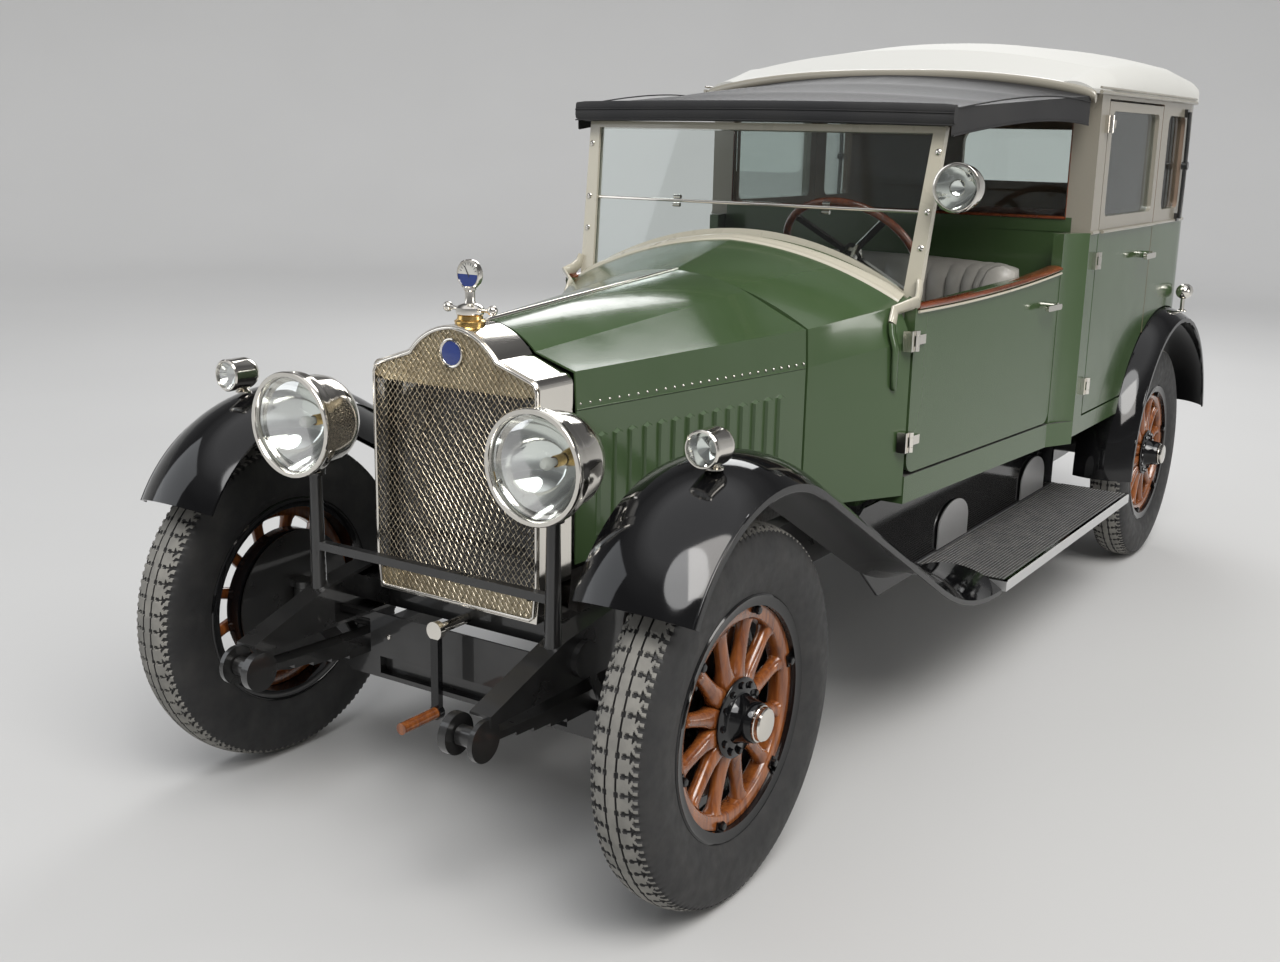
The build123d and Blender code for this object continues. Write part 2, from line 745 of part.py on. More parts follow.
with BuildPart() as radiator_cap:
    with BuildSketch(Plane.XY.offset(radiator_top + panel_clearance)):
        with Locations((0, radiator_front_y + radiator_depth / 2)):
            Circle(26)
    extrude(amount=20)
    with BuildSketch(Plane.XY.offset(radiator_top + 20)):
        with Locations((0, radiator_front_y + radiator_depth / 2)):
            Circle(31)
            Rectangle(128, 15)
            with Locations((-64, 0), (64, 0)):
                Circle(13)
    extrude(amount=18)
    with BuildSketch(Plane.XY.offset(radiator_top + 38)):
        with Locations((0, radiator_front_y + radiator_depth / 2)):
            Circle(11)
    extrude(amount=40)
    with BuildSketch(Plane.XZ.offset(-radiator_front_y - radiator_depth / 2 - 9)):
        with Locations((0, radiator_top + 108)):
            Circle(34)
    extrude(amount=18)
save(radiator_cap, "radiator_cap")

# bonnet: two tops hinged on the middle line, two louvred sides hinged under the tops
bonnet_front_y = radiator_front_y + radiator_depth + door_gap
bonnet_hinge_radius = 6.0
bonnet_stations = [
    # y, half width at the side hinge, its height, shoulder height, middle height
    (
        bonnet_front_y,
        radiator_half_width + 6,
        front_hinge_z,
        radiator_shoulder + 2,
        radiator_top,
    ),
    (
        bonnet_rear_y - door_gap,
        bonnet_rear_half_width,
        rear_hinge_z,
        bonnet_rear_shoulder,
        bonnet_rear_top,
    ),
]
bonnet_neck_share = 0.54
bonnet_neck_rises = (0.36, 0.68)
side_hinge_radius = 3.0
bonnet_slot = side_hinge_radius + panel_clearance
side_hinge_line = [
    Vector(half - bonnet_panel / 2, station_y, hinge_z)
    for station_y, half, hinge_z, _, _ in bonnet_stations
]
side_hinge_run = (side_hinge_line[1] - side_hinge_line[0]).length
side_hinge_plane = Plane(
    origin=side_hinge_line[0], z_dir=side_hinge_line[1] - side_hinge_line[0]
)
with BuildPart() as bonnet_top:
    for (station_y, half, hinge_z, shoulder_z, middle_z), neck_rise in zip(
        bonnet_stations, bonnet_neck_rises
    ):
        with BuildSketch(Plane.XZ.offset(-station_y)):
            with BuildLine():
                edge = (half, hinge_z + side_hinge_radius - 0.6)
                low_edge = (half - bonnet_panel, edge[1])
                outer = (half - 5, shoulder_z)
                inner = (outer[0] - bonnet_panel, shoulder_z - bonnet_panel)
                neck = (half * bonnet_neck_share, shoulder_z + (middle_z - shoulder_z) * neck_rise)
                inner_neck = (neck[0] - 1, neck[1] - bonnet_panel)
                bend = (neck[0] * 0.55, middle_z - (middle_z - neck[1]) * 0.3)
                inner_bend = (bend[0], bend[1] - bonnet_panel)
                crest = (bonnet_hinge_radius + panel_clearance, middle_z)
                under = (crest[0], middle_z - bonnet_panel)
                Line(edge, outer)
                Line(outer, neck)
                ThreePointArc(neck, bend, crest)
                Line(crest, under)
                ThreePointArc(under, inner_bend, inner_neck)
                Line(inner_neck, inner)
                Line(inner, low_edge)
                Line(low_edge, edge)
            make_face()
    loft(ruled=True)
    with BuildSketch(side_hinge_plane):
        Circle(side_hinge_radius)
    extrude(amount=side_hinge_run)
save(bonnet_top, "bonnet_top_left")
mirrored(bonnet_top, "bonnet_top_right")

side_start = (bonnet_stations[0][1], bonnet_front_y)
side_end = (bonnet_stations[1][1], bonnet_rear_y - door_gap)
side_run = math.hypot(side_end[0] - side_start[0], side_end[1] - side_start[1])
side_lean = (side_end[0] - side_start[0], side_end[1] - side_start[1], 0)
side_plane = Plane(
    origin=(side_start[0], side_start[1], 0),
    x_dir=side_lean,
    z_dir=(side_lean[1], -side_lean[0], 0),
)
bonnet_side_low_front = 660.0
louvre_count = 14
louvre_depth = 9.0
louvre_height_share = 0.62
louvre_pitch = side_run * 0.84 / louvre_count
with BuildPart() as bonnet_side:
    with BuildSketch(side_plane.offset(-bonnet_panel)):
        with BuildLine():
            Polyline(
                (0, bonnet_side_low_front),
                (0, front_hinge_z - bonnet_slot),
                (side_run, rear_hinge_z - bonnet_slot),
                (side_run, bonnet_bottom_z),
                close=True,
            )
        make_face()
    extrude(amount=bonnet_panel)
    for louvre in range(louvre_count):
        share = (louvre + 0.5) / louvre_count
        louvre_x = side_run * 0.08 + louvre * louvre_pitch
        high = front_hinge_z + share * (rear_hinge_z - front_hinge_z) - 58
        low = bonnet_side_low_front + share * (bonnet_bottom_z - bonnet_side_low_front) + 46
        with BuildSketch(side_plane):
            with BuildLine():
                Polyline(
                    (louvre_x, low + 8),
                    (louvre_x, high - 8),
                    (louvre_x + 14, high),
                    (louvre_x + 30, high - 8),
                    (louvre_x + 30, low + 8),
                    (louvre_x + 14, low),
                    close=True,
                )
            make_face()
        extrude(amount=louvre_depth, taper=28)
save(bonnet_side, "bonnet_side_left")
mirrored(bonnet_side, "bonnet_side_right")


# windscreen plane, raked back from the top of the scuttle
screen_plane = Plane(
    origin=(0, screen_y, screen_base_z),
    x_dir=(1, 0, 0),
    z_dir=(0, -math.cos(math.radians(screen_rake)), math.sin(math.radians(screen_rake))),
)
screen_bar = 24.0
screen_crown = 145.0
screen_split = 238.0
glass_thickness = 6.0


def build_screen_slab(inset, depth, drop=0.0):
    """Return the screen's outline as a solid centred on the screen plane."""
    with BuildPart() as slab:
        with BuildSketch(screen_plane.offset(-depth / 2)):
            with BuildLine():
                foot = (screen_base_half - inset, inset - drop)
                head = (screen_top_half - inset, screen_height - inset)
                Line(foot, head)
                Line(head, (-head[0], head[1]))
                Line((-head[0], head[1]), (-foot[0], foot[1]))
                ThreePointArc((-foot[0], foot[1]), (0, screen_crown + inset - drop), foot)
            make_face()
        extrude(amount=depth)
    return slab.part


with BuildPart() as windscreen_frame:
    add(build_screen_slab(0, screen_bar))
    add(build_screen_slab(screen_bar - 4, screen_bar + 2), mode=Mode.SUBTRACT)
    with BuildSketch(screen_plane.offset(-screen_bar / 2)):
        for post_side in (-1, 1):
            with BuildLine():
                Polyline(
                    (post_side * (screen_base_half - 6), 0),
                    (post_side * (screen_top_half - 6), screen_height),
                    (post_side * (screen_top_half + 16), screen_height),
                    (post_side * (screen_base_half + 24), 0),
                    close=True,
                )
            make_face()
    extrude(amount=screen_bar)
save(windscreen_frame, "windscreen_frame")

with BuildPart() as screen_glass:
    add(build_screen_slab(screen_bar - 4 + panel_clearance, glass_thickness))
    with BuildSketch(screen_plane.offset(-20)):
        with Locations((0, screen_split)):
            Rectangle(2 * screen_top_half, 5)
    extrude(amount=40, mode=Mode.SUBTRACT)

# scuttle between the bonnet and the screen, with the bulkhead at its front
scuttle_skin = 20.0
scuttle_stations = [
    # y, half width, side height, corner half width, corner height, middle height
    (bonnet_rear_y, 418.0, 1034.0, 413.0, 1134.0, 1261.0),
    (screen_y + 46.0, 646.0, 1110.0, 590.0, 1200.0, 1352.0),
]


def build_scuttle_block(inset, start, stop):
    """Return the scuttle as a solid loft between two positions along the car."""
    first, last = scuttle_stations
    with BuildPart() as block:
        for station_y in (start, stop):
            share = (station_y - first[0]) / (last[0] - first[0])
            half, side_z, corner_x, corner_z, middle_z = (
                a + share * (b - a) for a, b in zip(first[1:], last[1:])
            )
            with BuildSketch(Plane.XZ.offset(-station_y)):
                with BuildLine():
                    foot, side = (half - inset, body_bottom - inset), (half - inset, side_z)
                    corner, crown = (corner_x - inset, corner_z - inset), (0, middle_z - inset)
                    bend = (corner_x * 0.5, corner_z + (middle_z - corner_z) * 0.72 - inset)
                    Line((0, foot[1]), foot)
                    Line(foot, side)
                    Line(side, corner)
                    ThreePointArc(corner, bend, crown)
                    Line(crown, (0, foot[1]))
                make_face()
                mirror(about=Plane.YZ)
        loft(ruled=True)
    return block.part


with BuildPart() as scuttle:
    add(build_scuttle_block(0, bonnet_rear_y, screen_y + 46))
    add(build_scuttle_block(scuttle_skin, bonnet_rear_y + 14, screen_y + 60), mode=Mode.SUBTRACT)
    rod_end = Vector(0, bonnet_rear_y + 10, bonnet_rear_top)
    rod_start = Vector(0, radiator_front_y + radiator_depth + panel_clearance, radiator_top)
    with BuildSketch(Plane(origin=rod_start, z_dir=rod_end - rod_start)):
        Circle(bonnet_hinge_radius)
    extrude(amount=(rod_end - rod_start).length)
    add(build_screen_slab(0, 400, drop=panel_clearance), mode=Mode.SUBTRACT)
    for post_side in (-1, 1):
        with BuildSketch(screen_plane.offset(-60)):
            with Locations((post_side * (screen_base_half + 30), 50)):
                Rectangle(75, 100 + 2 * panel_clearance)
        extrude(amount=72 + panel_clearance, mode=Mode.SUBTRACT)
    with BuildSketch(Plane.XZ.offset(-bonnet_rear_y + 20)):
        with Locations((0, engine_base + 130)):
            Circle(205)
    extrude(amount=-60, mode=Mode.SUBTRACT)
    with BuildSketch(steering_plane.offset(-column_length)):
        Circle(column_radius + 3)
    extrude(amount=column_length, mode=Mode.SUBTRACT)
    door_room = driver_door_top + door_gap - body_bottom + 20
    with Locations((0, door_front_y - door_gap + 200, body_bottom - 20 + door_room / 2)):
        Box(1400, 400, door_room, mode=Mode.SUBTRACT)
save(scuttle, "scuttle")

# body tub: floor, sills under the driver's doors, raised deck over the rear axle
tub_front_y = door_front_y - 110.0
body_plan = [
    # y, half width of the body
    (door_front_y - door_gap + panel_clearance, door_front_half),
    (door_rear_y, door_rear_half),
    (cabin_front_y - panel_clearance, cabin_half),
]
arch_y = axle_y_rear + 30.0
arch_z = 400.0
arch_radius = 602.0
deck_front_y = arch_y - 540.0
deck_z = 760.0
wheelhouse_half = 566.0
deck_half = 390.0
scuttle_floor_half = 490.0
sill_top = driver_door_bottom - door_gap
with BuildPart() as body_tub:
    outline = [(half, y) for y, half in body_plan]
    with BuildSketch(Plane.XY.offset(body_bottom - floor_thickness)):
        with BuildLine():
            Polyline(*outline, *[(-x, y) for x, y in outline[::-1]], close=True)
        make_face()
    extrude(amount=sill_top - body_bottom + floor_thickness)
    inner = [(half - body_panel, y) for y, half in body_plan]
    inner[0] = (inner[0][0], inner[0][1] - 10)
    inner[-1] = (inner[-1][0], cabin_front_y + 10)
    with BuildSketch(Plane.XY.offset(body_bottom)):
        with BuildLine():
            Polyline(*inner, *[(-x, y) for x, y in inner[::-1]], close=True)
        make_face()
    extrude(amount=sill_top, mode=Mode.SUBTRACT)
    with Locations((0, (tub_front_y + door_front_y) / 2, body_bottom - panel_clearance - floor_thickness / 2)):
        Box(2 * scuttle_floor_half, door_front_y - tub_front_y, floor_thickness)
    with Locations((0, (cabin_front_y + deck_front_y) / 2, body_bottom - floor_thickness / 2)):
        Box(2 * wheelhouse_half, deck_front_y - cabin_front_y + 2, floor_thickness)
    sill_run = deck_front_y - tub_front_y
    sill_drop = body_bottom - floor_thickness - rail_top
    with Locations((0, tub_front_y + sill_run / 2, rail_top + sill_drop / 2)):
        for rail_side in (-1, 1):
            with Locations((rail_side * (rail_outer_x - rail_flange / 2), 0, 0)):
                Box(rail_flange - 8, sill_run, sill_drop)
    with Locations((0, deck_front_y + floor_thickness / 2, (body_bottom + deck_z - floor_thickness) / 2)):
        Box(2 * wheelhouse_half, floor_thickness, deck_z - body_bottom + floor_thickness)
    deck_length = cabin_rear_y - body_panel - panel_clearance - deck_front_y
    with Locations((0, deck_front_y + deck_length / 2, deck_z - floor_thickness / 2)):
        Box(2 * deck_half, deck_length, floor_thickness)
save(body_tub, "body_tub")

# rear cabin: walls, division below its glass, door posts, wheelhouses and openings
window_low = belt_z + 48.0
window_high = 1722.0
door_frame = 46.0
division_thickness = 30.0
with BuildPart() as rear_cabin:
    with BuildSketch(Plane.XY.offset(body_bottom)):
        with Locations((0, (cabin_front_y + cabin_rear_y) / 2)):
            body_rectangle = Rectangle(2 * cabin_half, cabin_rear_y - cabin_front_y)
        fillet(body_rectangle.vertices().group_by(Axis.Y)[-1], cabin_corner_radius)
    extrude(amount=cabin_top_z - body_bottom)
    with BuildSketch(Plane.XY.offset(body_bottom - 1)):
        inner_front = cabin_front_y + division_thickness
        with Locations((0, (inner_front + cabin_rear_y - body_panel) / 2)):
            hollow = Rectangle(2 * (cabin_half - body_panel), cabin_rear_y - body_panel - inner_front)
        fillet(hollow.vertices().group_by(Axis.Y)[-1], cabin_corner_radius - body_panel)
    extrude(amount=cabin_top_z, mode=Mode.SUBTRACT)
    with Locations((0, cabin_front_y, (window_low + window_high) / 2)):
        Box(2 * (cabin_half - 90), 200, window_high - window_low, mode=Mode.SUBTRACT)
    for wall_side in (-1, 1):
        with BuildSketch(Plane.YZ.offset(wall_side * (cabin_half - 60) - 100)):
            with BuildLine():
                Polyline(
                    (rear_door_front_y, rear_door_bottom - door_gap),
                    (rear_door_front_y, rear_door_top + door_gap),
                    (rear_door_rear_y, rear_door_top + door_gap),
                    (rear_door_rear_y, rear_door_bottom - door_gap),
                    close=True,
                )
            make_face()
            with Locations((arch_y, arch_z)):
                Circle(arch_radius)
            quarter_y = (rear_door_rear_y + cabin_rear_y - cabin_corner_radius) / 2 + 10
            with Locations((quarter_y, (window_low + window_high) / 2)):
                RectangleRounded(250, window_high - window_low, 30)
        extrude(amount=200, mode=Mode.SUBTRACT)
    with BuildSketch(Plane.XZ.offset(-cabin_rear_y - 100)):
        with Locations((0, 1560)):
            RectangleRounded(620, 220, 60)
    extrude(amount=200, mode=Mode.SUBTRACT)
    for wall_side in (-1, 1):
        with BuildSketch(Plane.YZ.offset(wall_side * (wheelhouse_half + 6.3) - 6)):
            with Locations((arch_y, arch_z)):
                Circle(arch_radius)
            house_rear = cabin_rear_y - cabin_corner_radius / 3
            house_middle = (arch_y - arch_radius + house_rear) / 2
            with Locations((house_middle, body_bottom + 500)):
                Rectangle(house_rear - arch_y + arch_radius, 1000, mode=Mode.INTERSECT)
        extrude(amount=12)
        with Locations((wall_side * (cabin_half + wheelhouse_half) / 2, cabin_front_y + 275, 690)):
            Box(cabin_half - wheelhouse_half, 530, 14)
    for post_side in (-1, 1):
        with BuildSketch(Plane.XY.offset(sill_top)):
            start = (post_side * door_rear_half, door_rear_y + door_gap)
            stop = (post_side * cabin_half, cabin_front_y)
            with BuildLine():
                bend = ((start[0] + stop[0]) / 2 - post_side * 10, (start[1] + stop[1]) / 2 + 6)
                ThreePointArc(start, bend, stop)
                Polyline(
                    stop,
                    (stop[0] - post_side * 60, cabin_front_y),
                    (start[0] - post_side * body_panel, start[1]),
                    start,
                )
            make_face()
        extrude(amount=belt_z - sill_top)
save(rear_cabin, "rear_cabin")

# fixed roof: crowned shell over the cabin, standing a little proud at the front
roof_stations = [
    # y, half width, height of the side edge, height of the rounded edge, middle height
    (cabin_front_y - 62, 700.0, cabin_top_z + 1, 1808.0, 1840.0),
    (cabin_front_y + 150, 722.0, cabin_top_z + 1, 1862.0, 1925.0),
    (cabin_front_y + 500, 724.0, cabin_top_z + 1, 1893.0, 1966.0),
    (cabin_front_y + 1000, 724.0, cabin_top_z + 1, 1900.0, 1980.0),
    (cabin_front_y + 1300, 724.0, cabin_top_z + 1, 1872.0, 1948.0),
    (cabin_rear_y + 9, 724.0, cabin_top_z + 1, 1812.0, 1850.0),
]
roof_edge = 96.0
roof_rim = 14.0
roof_skin = 20.0


def build_roof_block(drop, inset):
    """Return the roof's outer or inner form as a loft along the car, with rounded rear corners."""
    front_y, rear_y = roof_stations[0][0] + inset, roof_stations[-1][0] - inset
    with BuildPart() as block:
        for station_y, half, side_z, edge_z, middle_z in roof_stations:
            with BuildSketch(Plane.XZ.offset(-min(max(station_y, front_y), rear_y))):
                with BuildLine():
                    foot = (half - inset, side_z - inset)
                    rim = (foot[0], side_z + roof_rim - 0.3 * inset)
                    edge, crown = (foot[0] - roof_edge, edge_z - drop), (0, middle_z - drop)
                    turn = (
                        foot[0] - roof_edge * 0.27,
                        rim[1] + (edge_z - drop - rim[1]) * 0.66,
                    )
                    bend = (edge[0] * 0.52, crown[1] - (crown[1] - edge[1]) * 0.25)
                    Line((0, foot[1]), foot)
                    Line(foot, rim)
                    ThreePointArc(rim, turn, edge)
                    ThreePointArc(edge, bend, crown)
                    Line(crown, (0, foot[1]))
                make_face()
                mirror(about=Plane.YZ)
        loft(ruled=True)
        with BuildSketch(Plane.XY.offset(cabin_top_z - 100)):
            with Locations((0, (front_y + rear_y) / 2)):
                plan = Rectangle(1460 - 2 * inset, rear_y - front_y + 6)
            fillet(plan.vertices().group_by(Axis.Y)[-1], cabin_corner_radius + 9 - inset)
        extrude(amount=500, mode=Mode.INTERSECT)
    return block.part


with BuildPart() as roof:
    add(build_roof_block(0, 0))
    add(build_roof_block(roof_skin, 2 * roof_skin), mode=Mode.SUBTRACT)
save(roof, "roof")

# folding head over the driver, kept up: one crowned skin between the screen and the roof
canopy_skin = 26.0
canopy_stations = [
    # y, half width, height of the side edge, middle height
    (screen_y + 32, 613.0, 1704.0, 1716.0),
    (cabin_front_y - 62 - panel_clearance, 696.0, 1764.0, 1832.0),
]
with BuildPart() as canopy:
    for station_y, half, side_z, middle_z in canopy_stations:
        with BuildSketch(Plane.XZ.offset(-station_y)):
            with BuildLine():
                ThreePointArc((-half, side_z), (0, middle_z), (half, side_z))
                Line((half, side_z), (half - canopy_skin, side_z))
                ThreePointArc(
                    (half - canopy_skin, side_z), (0, middle_z - canopy_skin), (canopy_skin - half, side_z)
                )
                Line((canopy_skin - half, side_z), (-half, side_z))
            make_face()
    loft(ruled=True)
    head_z = screen_base_z + screen_height * math.cos(math.radians(screen_rake)) + 6
    with BuildSketch(Plane.XZ.offset(-screen_y - 92)):
        with BuildLine():
            _, half, side_z, middle_z = canopy_stations[0]
            Polyline(
                (-half + 30, side_z - 10), (-half + 40, head_z), (half - 40, head_z), (half - 30, side_z - 10)
            )
            ThreePointArc((half - 30, side_z - 10), (0, middle_z - 12), (-half + 30, side_z - 10))
        make_face()
    extrude(amount=18)
save(canopy, "canopy")

# screen, division, quarter and back glass in their openings
with BuildPart() as fixed_glass:
    add(screen_glass.part)
    with Locations((0, cabin_front_y + division_thickness / 2, (window_low + window_high) / 2)):
        Box(
            2 * (cabin_half - 90) - 2 * panel_clearance,
            glass_thickness,
            window_high - window_low - 2 * panel_clearance,
        )
    with BuildSketch(Plane.XZ.offset(-cabin_rear_y + body_panel / 2 - glass_thickness / 2)):
        with Locations((0, 1560)):
            RectangleRounded(620 - 2 * panel_clearance, 220 - 2 * panel_clearance, 59)
    extrude(amount=glass_thickness)
    for wall_side in (-1, 1):
        glass_x = wall_side * (cabin_half - body_panel / 2) - glass_thickness / 2
        with BuildSketch(Plane.YZ.offset(glass_x)):
            with Locations((quarter_y, (window_low + window_high) / 2)):
                RectangleRounded(
                    250 - 2 * panel_clearance, window_high - window_low - 2 * panel_clearance, 29
                )
        extrude(amount=glass_thickness)
save(fixed_glass, "fixed_glass")

# rear doors with a window, cut round the wheel arch, and their glass
hinge_radius = 9.0
hinge_pin_radius = 5.0
hinge_reach = 12.0
hinge_length = 56.0
rear_hinge_heights = (820.0, 1240.0, 1680.0)
with BuildPart() as rear_door:
    with BuildSketch(Plane.YZ.offset(cabin_half - body_panel)):
        with BuildLine():
            Polyline(
                (rear_door_front_y + door_gap, rear_door_bottom),
                (rear_door_front_y + door_gap, rear_door_top),
                (rear_door_rear_y - door_gap, rear_door_top),
                (rear_door_rear_y - door_gap, rear_door_bottom),
                close=True,
            )
        make_face()
        with Locations((arch_y, arch_z)):
            Circle(arch_radius + 8, mode=Mode.SUBTRACT)
        pane_middle = (rear_door_front_y + rear_door_rear_y) / 2
        pane_width = rear_door_rear_y - rear_door_front_y - 2 * (door_frame + door_gap)
        with Locations((pane_middle, (window_low + window_high) / 2)):
            RectangleRounded(pane_width, window_high - window_low, 24, mode=Mode.SUBTRACT)
    extrude(amount=body_panel)
    rear_hinge_y = rear_door_front_y - 4
    for hinge_z in rear_hinge_heights:
        with BuildSketch(Plane.XY.offset(hinge_z - hinge_length / 4 + 1)):
            with Locations((cabin_half + hinge_reach, rear_hinge_y)):
                Circle(hinge_radius)
            with Locations((cabin_half + 5, rear_hinge_y + 34)):
                Rectangle(10, 56)
            with Locations((cabin_half + hinge_reach, rear_hinge_y)):
                Circle(hinge_pin_radius + panel_clearance, mode=Mode.SUBTRACT)
        extrude(amount=hinge_length / 2 - 2)
    handle_y = rear_door_rear_y - 90
    with BuildSketch(Plane.YZ.offset(cabin_half)):
        with Locations((handle_y, 1225)):
            Circle(13)
    extrude(amount=34)
    with BuildSketch(Plane.YZ.offset(cabin_half + 30)):
        with Locations((handle_y - 48, 1225)):
            RectangleRounded(130, 20, 9)
    extrude(amount=12)
save(rear_door, "rear_door_left")
mirrored(rear_door, "rear_door_right")
with BuildPart() as rear_door_glass:
    with BuildSketch(Plane.YZ.offset(cabin_half - body_panel / 2 - glass_thickness / 2)):
        with Locations((pane_middle, (window_low + window_high) / 2)):
            RectangleRounded(
                pane_width - 2 * panel_clearance, window_high - window_low - 2 * panel_clearance, 23
            )
    extrude(amount=glass_thickness)
save(rear_door_glass, "rear_door_glass_left")
mirrored(rear_door_glass, "rear_door_glass_right")

# driver's doors, in the slanted plane of the body side
driver_run = math.hypot(door_rear_half - door_front_half, door_rear_y - door_front_y)
driver_lean = (door_rear_half - door_front_half, door_rear_y - door_front_y, 0)
driver_plane = Plane(
    origin=(door_front_half, door_front_y, 0),
    x_dir=driver_lean,
    z_dir=(driver_lean[1], -driver_lean[0], 0),
)
driver_door_rise = 42.0
driver_hinge_heights = (810.0, 1090.0)
driver_corner_radius = 40.0
with BuildPart() as driver_door:
    with BuildSketch(driver_plane.offset(-body_panel)):
        with BuildLine():
            Polyline(
                (0, driver_door_bottom),
                (0, driver_door_top),
                (driver_run, driver_door_top + driver_door_rise),
                (driver_run, driver_door_bottom),
                close=True,
            )
        panel = make_face()
        fillet(panel.vertices().sort_by(Axis.Y)[:2], driver_corner_radius)
    extrude(amount=body_panel)
    for hinge_z in driver_hinge_heights:
        with BuildSketch(driver_plane):
            with Locations((26, hinge_z)):
                Rectangle(56, hinge_length / 2 - 2)
        extrude(amount=9)
    with BuildSketch(driver_plane):
        with Locations((driver_run - 70, driver_door_top - 70)):
            Circle(12)
    extrude(amount=30)
    with BuildSketch(driver_plane.offset(28)):
        with Locations((driver_run - 112, driver_door_top - 70)):
            RectangleRounded(110, 18, 8)
    extrude(amount=11)
    driver_hinge = driver_plane.from_local_coords((-8, 0, hinge_reach))
    for hinge_z in driver_hinge_heights:
        with BuildSketch(Plane.XY.offset(hinge_z - hinge_length / 4 + 1)):
            with Locations((driver_hinge.X, driver_hinge.Y)):
                Circle(hinge_radius)
        extrude(amount=hinge_length / 2 - 2)
        with BuildSketch(Plane.XY.offset(hinge_z - hinge_length / 4 + 1)):
            with Locations((driver_hinge.X, driver_hinge.Y)):
                Circle(hinge_pin_radius + panel_clearance)
        extrude(amount=hinge_length / 2 - 2, mode=Mode.SUBTRACT)
save(driver_door, "driver_door_left")
mirrored(driver_door, "driver_door_right")



def scuttle_half_at(y):
    """Return the scuttle's half width at a place along the car."""
    (first_y, first_half), (last_y, last_half) = (row[:2] for row in scuttle_stations)
    return first_half + (last_half - first_half) * (y - first_y) / (last_y - first_y)


# fixed halves of the door hinges: a pin between two lugs with a leaf on the body
with BuildPart() as door_hinges:
    hinge_rows = [
        (cabin_half + hinge_reach, rear_hinge_y, hinge_z, cabin_half + 0.3, -24.0)
        for hinge_z in rear_hinge_heights
    ] + [
        (driver_hinge.X, driver_hinge.Y, hinge_z, scuttle_half_at(driver_hinge.Y - 17) + 0.3, -22.0)
        for hinge_z in driver_hinge_heights
    ]
    for pin_x, pin_y, pin_z, leaf_x, leaf_reach in hinge_rows:
        with BuildSketch(Plane.XY.offset(pin_z - hinge_length / 2)):
            with Locations((pin_x, pin_y)):
                Circle(hinge_pin_radius)
        extrude(amount=hinge_length)
        for lug_z in (pin_z - hinge_length / 2, pin_z + hinge_length / 4):
            with BuildSketch(Plane.XY.offset(lug_z)):
                with Locations((pin_x, pin_y)):
                    Circle(hinge_radius)
                with Locations((pin_x - 4, pin_y + leaf_reach / 2)):
                    Rectangle(8, -leaf_reach)
            extrude(amount=hinge_length / 4)
        with Locations(((leaf_x + pin_x) / 2, pin_y + leaf_reach - 2, pin_z)):
            Box(pin_x - leaf_x, 14, hinge_length)
    mirror(about=Plane.YZ)
save(door_hinges, "door_hinges")

# fenders: one crowned skin swept along arcs and lines
fender_skin = 5.0


def build_fender(name, path_points, crown_x, inner_reach, outer_reach, inner_drop, outer_drop):
    """Write a pair of fenders swept along a path given from front to back."""
    start = Vector(*path_points["start"])
    with BuildPart() as fender:
        with BuildLine() as path:
            for stretch in path_points["stretches"]:
                if len(stretch) == 3:
                    ThreePointArc(*[(crown_x, y, z) for y, z in stretch])
                else:
                    Line(*[(crown_x, y, z) for y, z in stretch])
        along = path.line % 0
        with BuildSketch(Plane(origin=(crown_x, start.X, start.Y), x_dir=(1, 0, 0), z_dir=along)):
            up = path_points["up"]
            with BuildLine():
                inner, outer = (-inner_reach, -inner_drop * up), (outer_reach, -outer_drop * up)
                ThreePointArc(inner, (0, 0), outer)
                Line(outer, (outer[0], outer[1] - 14 * up))
                Line((outer[0], outer[1] - 14 * up), (outer[0] - fender_skin, outer[1] - 14 * up))
                Line((outer[0] - fender_skin, outer[1] - 14 * up), (outer[0] - fender_skin, outer[1] - 3 * up))
                ThreePointArc(
                    (outer[0] - fender_skin, outer[1] - 3 * up),
                    (0, -fender_skin * up),
                    (inner[0], inner[1] - fender_skin * up),
                )
                Line((inner[0], inner[1] - fender_skin * up), inner)
            make_face()
        sweep(path=path.line)
        mirror(about=Plane.YZ)
    save(fender, name)


def on_circle(centre, radius, angle):
    """Return the point of a circle in the side view; angle 0 is its top, plus is rearwards."""
    turn = math.radians(angle)
    return (centre[0] + radius * math.sin(turn), centre[1] + radius * math.cos(turn))


board_top = 375.0
board_inner, board_outer = 520.0, 808.0
board_thickness = 30.0
front_arc_centre = (axle_y_front + 25.0, 540.0)
front_arc_radius = 443.0
front_arc_start, front_arc_end = -62.0, 29.0
reverse_radius = 900.0
fender_foot_z = board_top + 26.0
slope_start = on_circle(front_arc_centre, front_arc_radius, front_arc_end)
slope_end_z = fender_foot_z + reverse_radius * (1 - math.cos(math.radians(front_arc_end)))
slope_end_y = slope_start[0] + (slope_start[1] - slope_end_z) / math.tan(math.radians(front_arc_end))
fender_foot_y = slope_end_y + reverse_radius * math.sin(math.radians(front_arc_end))
half_turn = math.radians(front_arc_end / 2)
reverse_middle = (
    fender_foot_y - reverse_radius * math.sin(half_turn),
    fender_foot_z + reverse_radius * (1 - math.cos(half_turn)),
)
front_path = {
    "start": (*on_circle(front_arc_centre, front_arc_radius, front_arc_start), 0),
    "up": -1,
    "stretches": [
        [
            on_circle(front_arc_centre, front_arc_radius, front_arc_start),
            on_circle(front_arc_centre, front_arc_radius, -15),
            slope_start,
        ],
        [slope_start, (slope_end_y, slope_end_z)],
        [(slope_end_y, slope_end_z), reverse_middle, (fender_foot_y, fender_foot_z)],
    ],
}
rear_fender_radius = arch_radius - 2.0
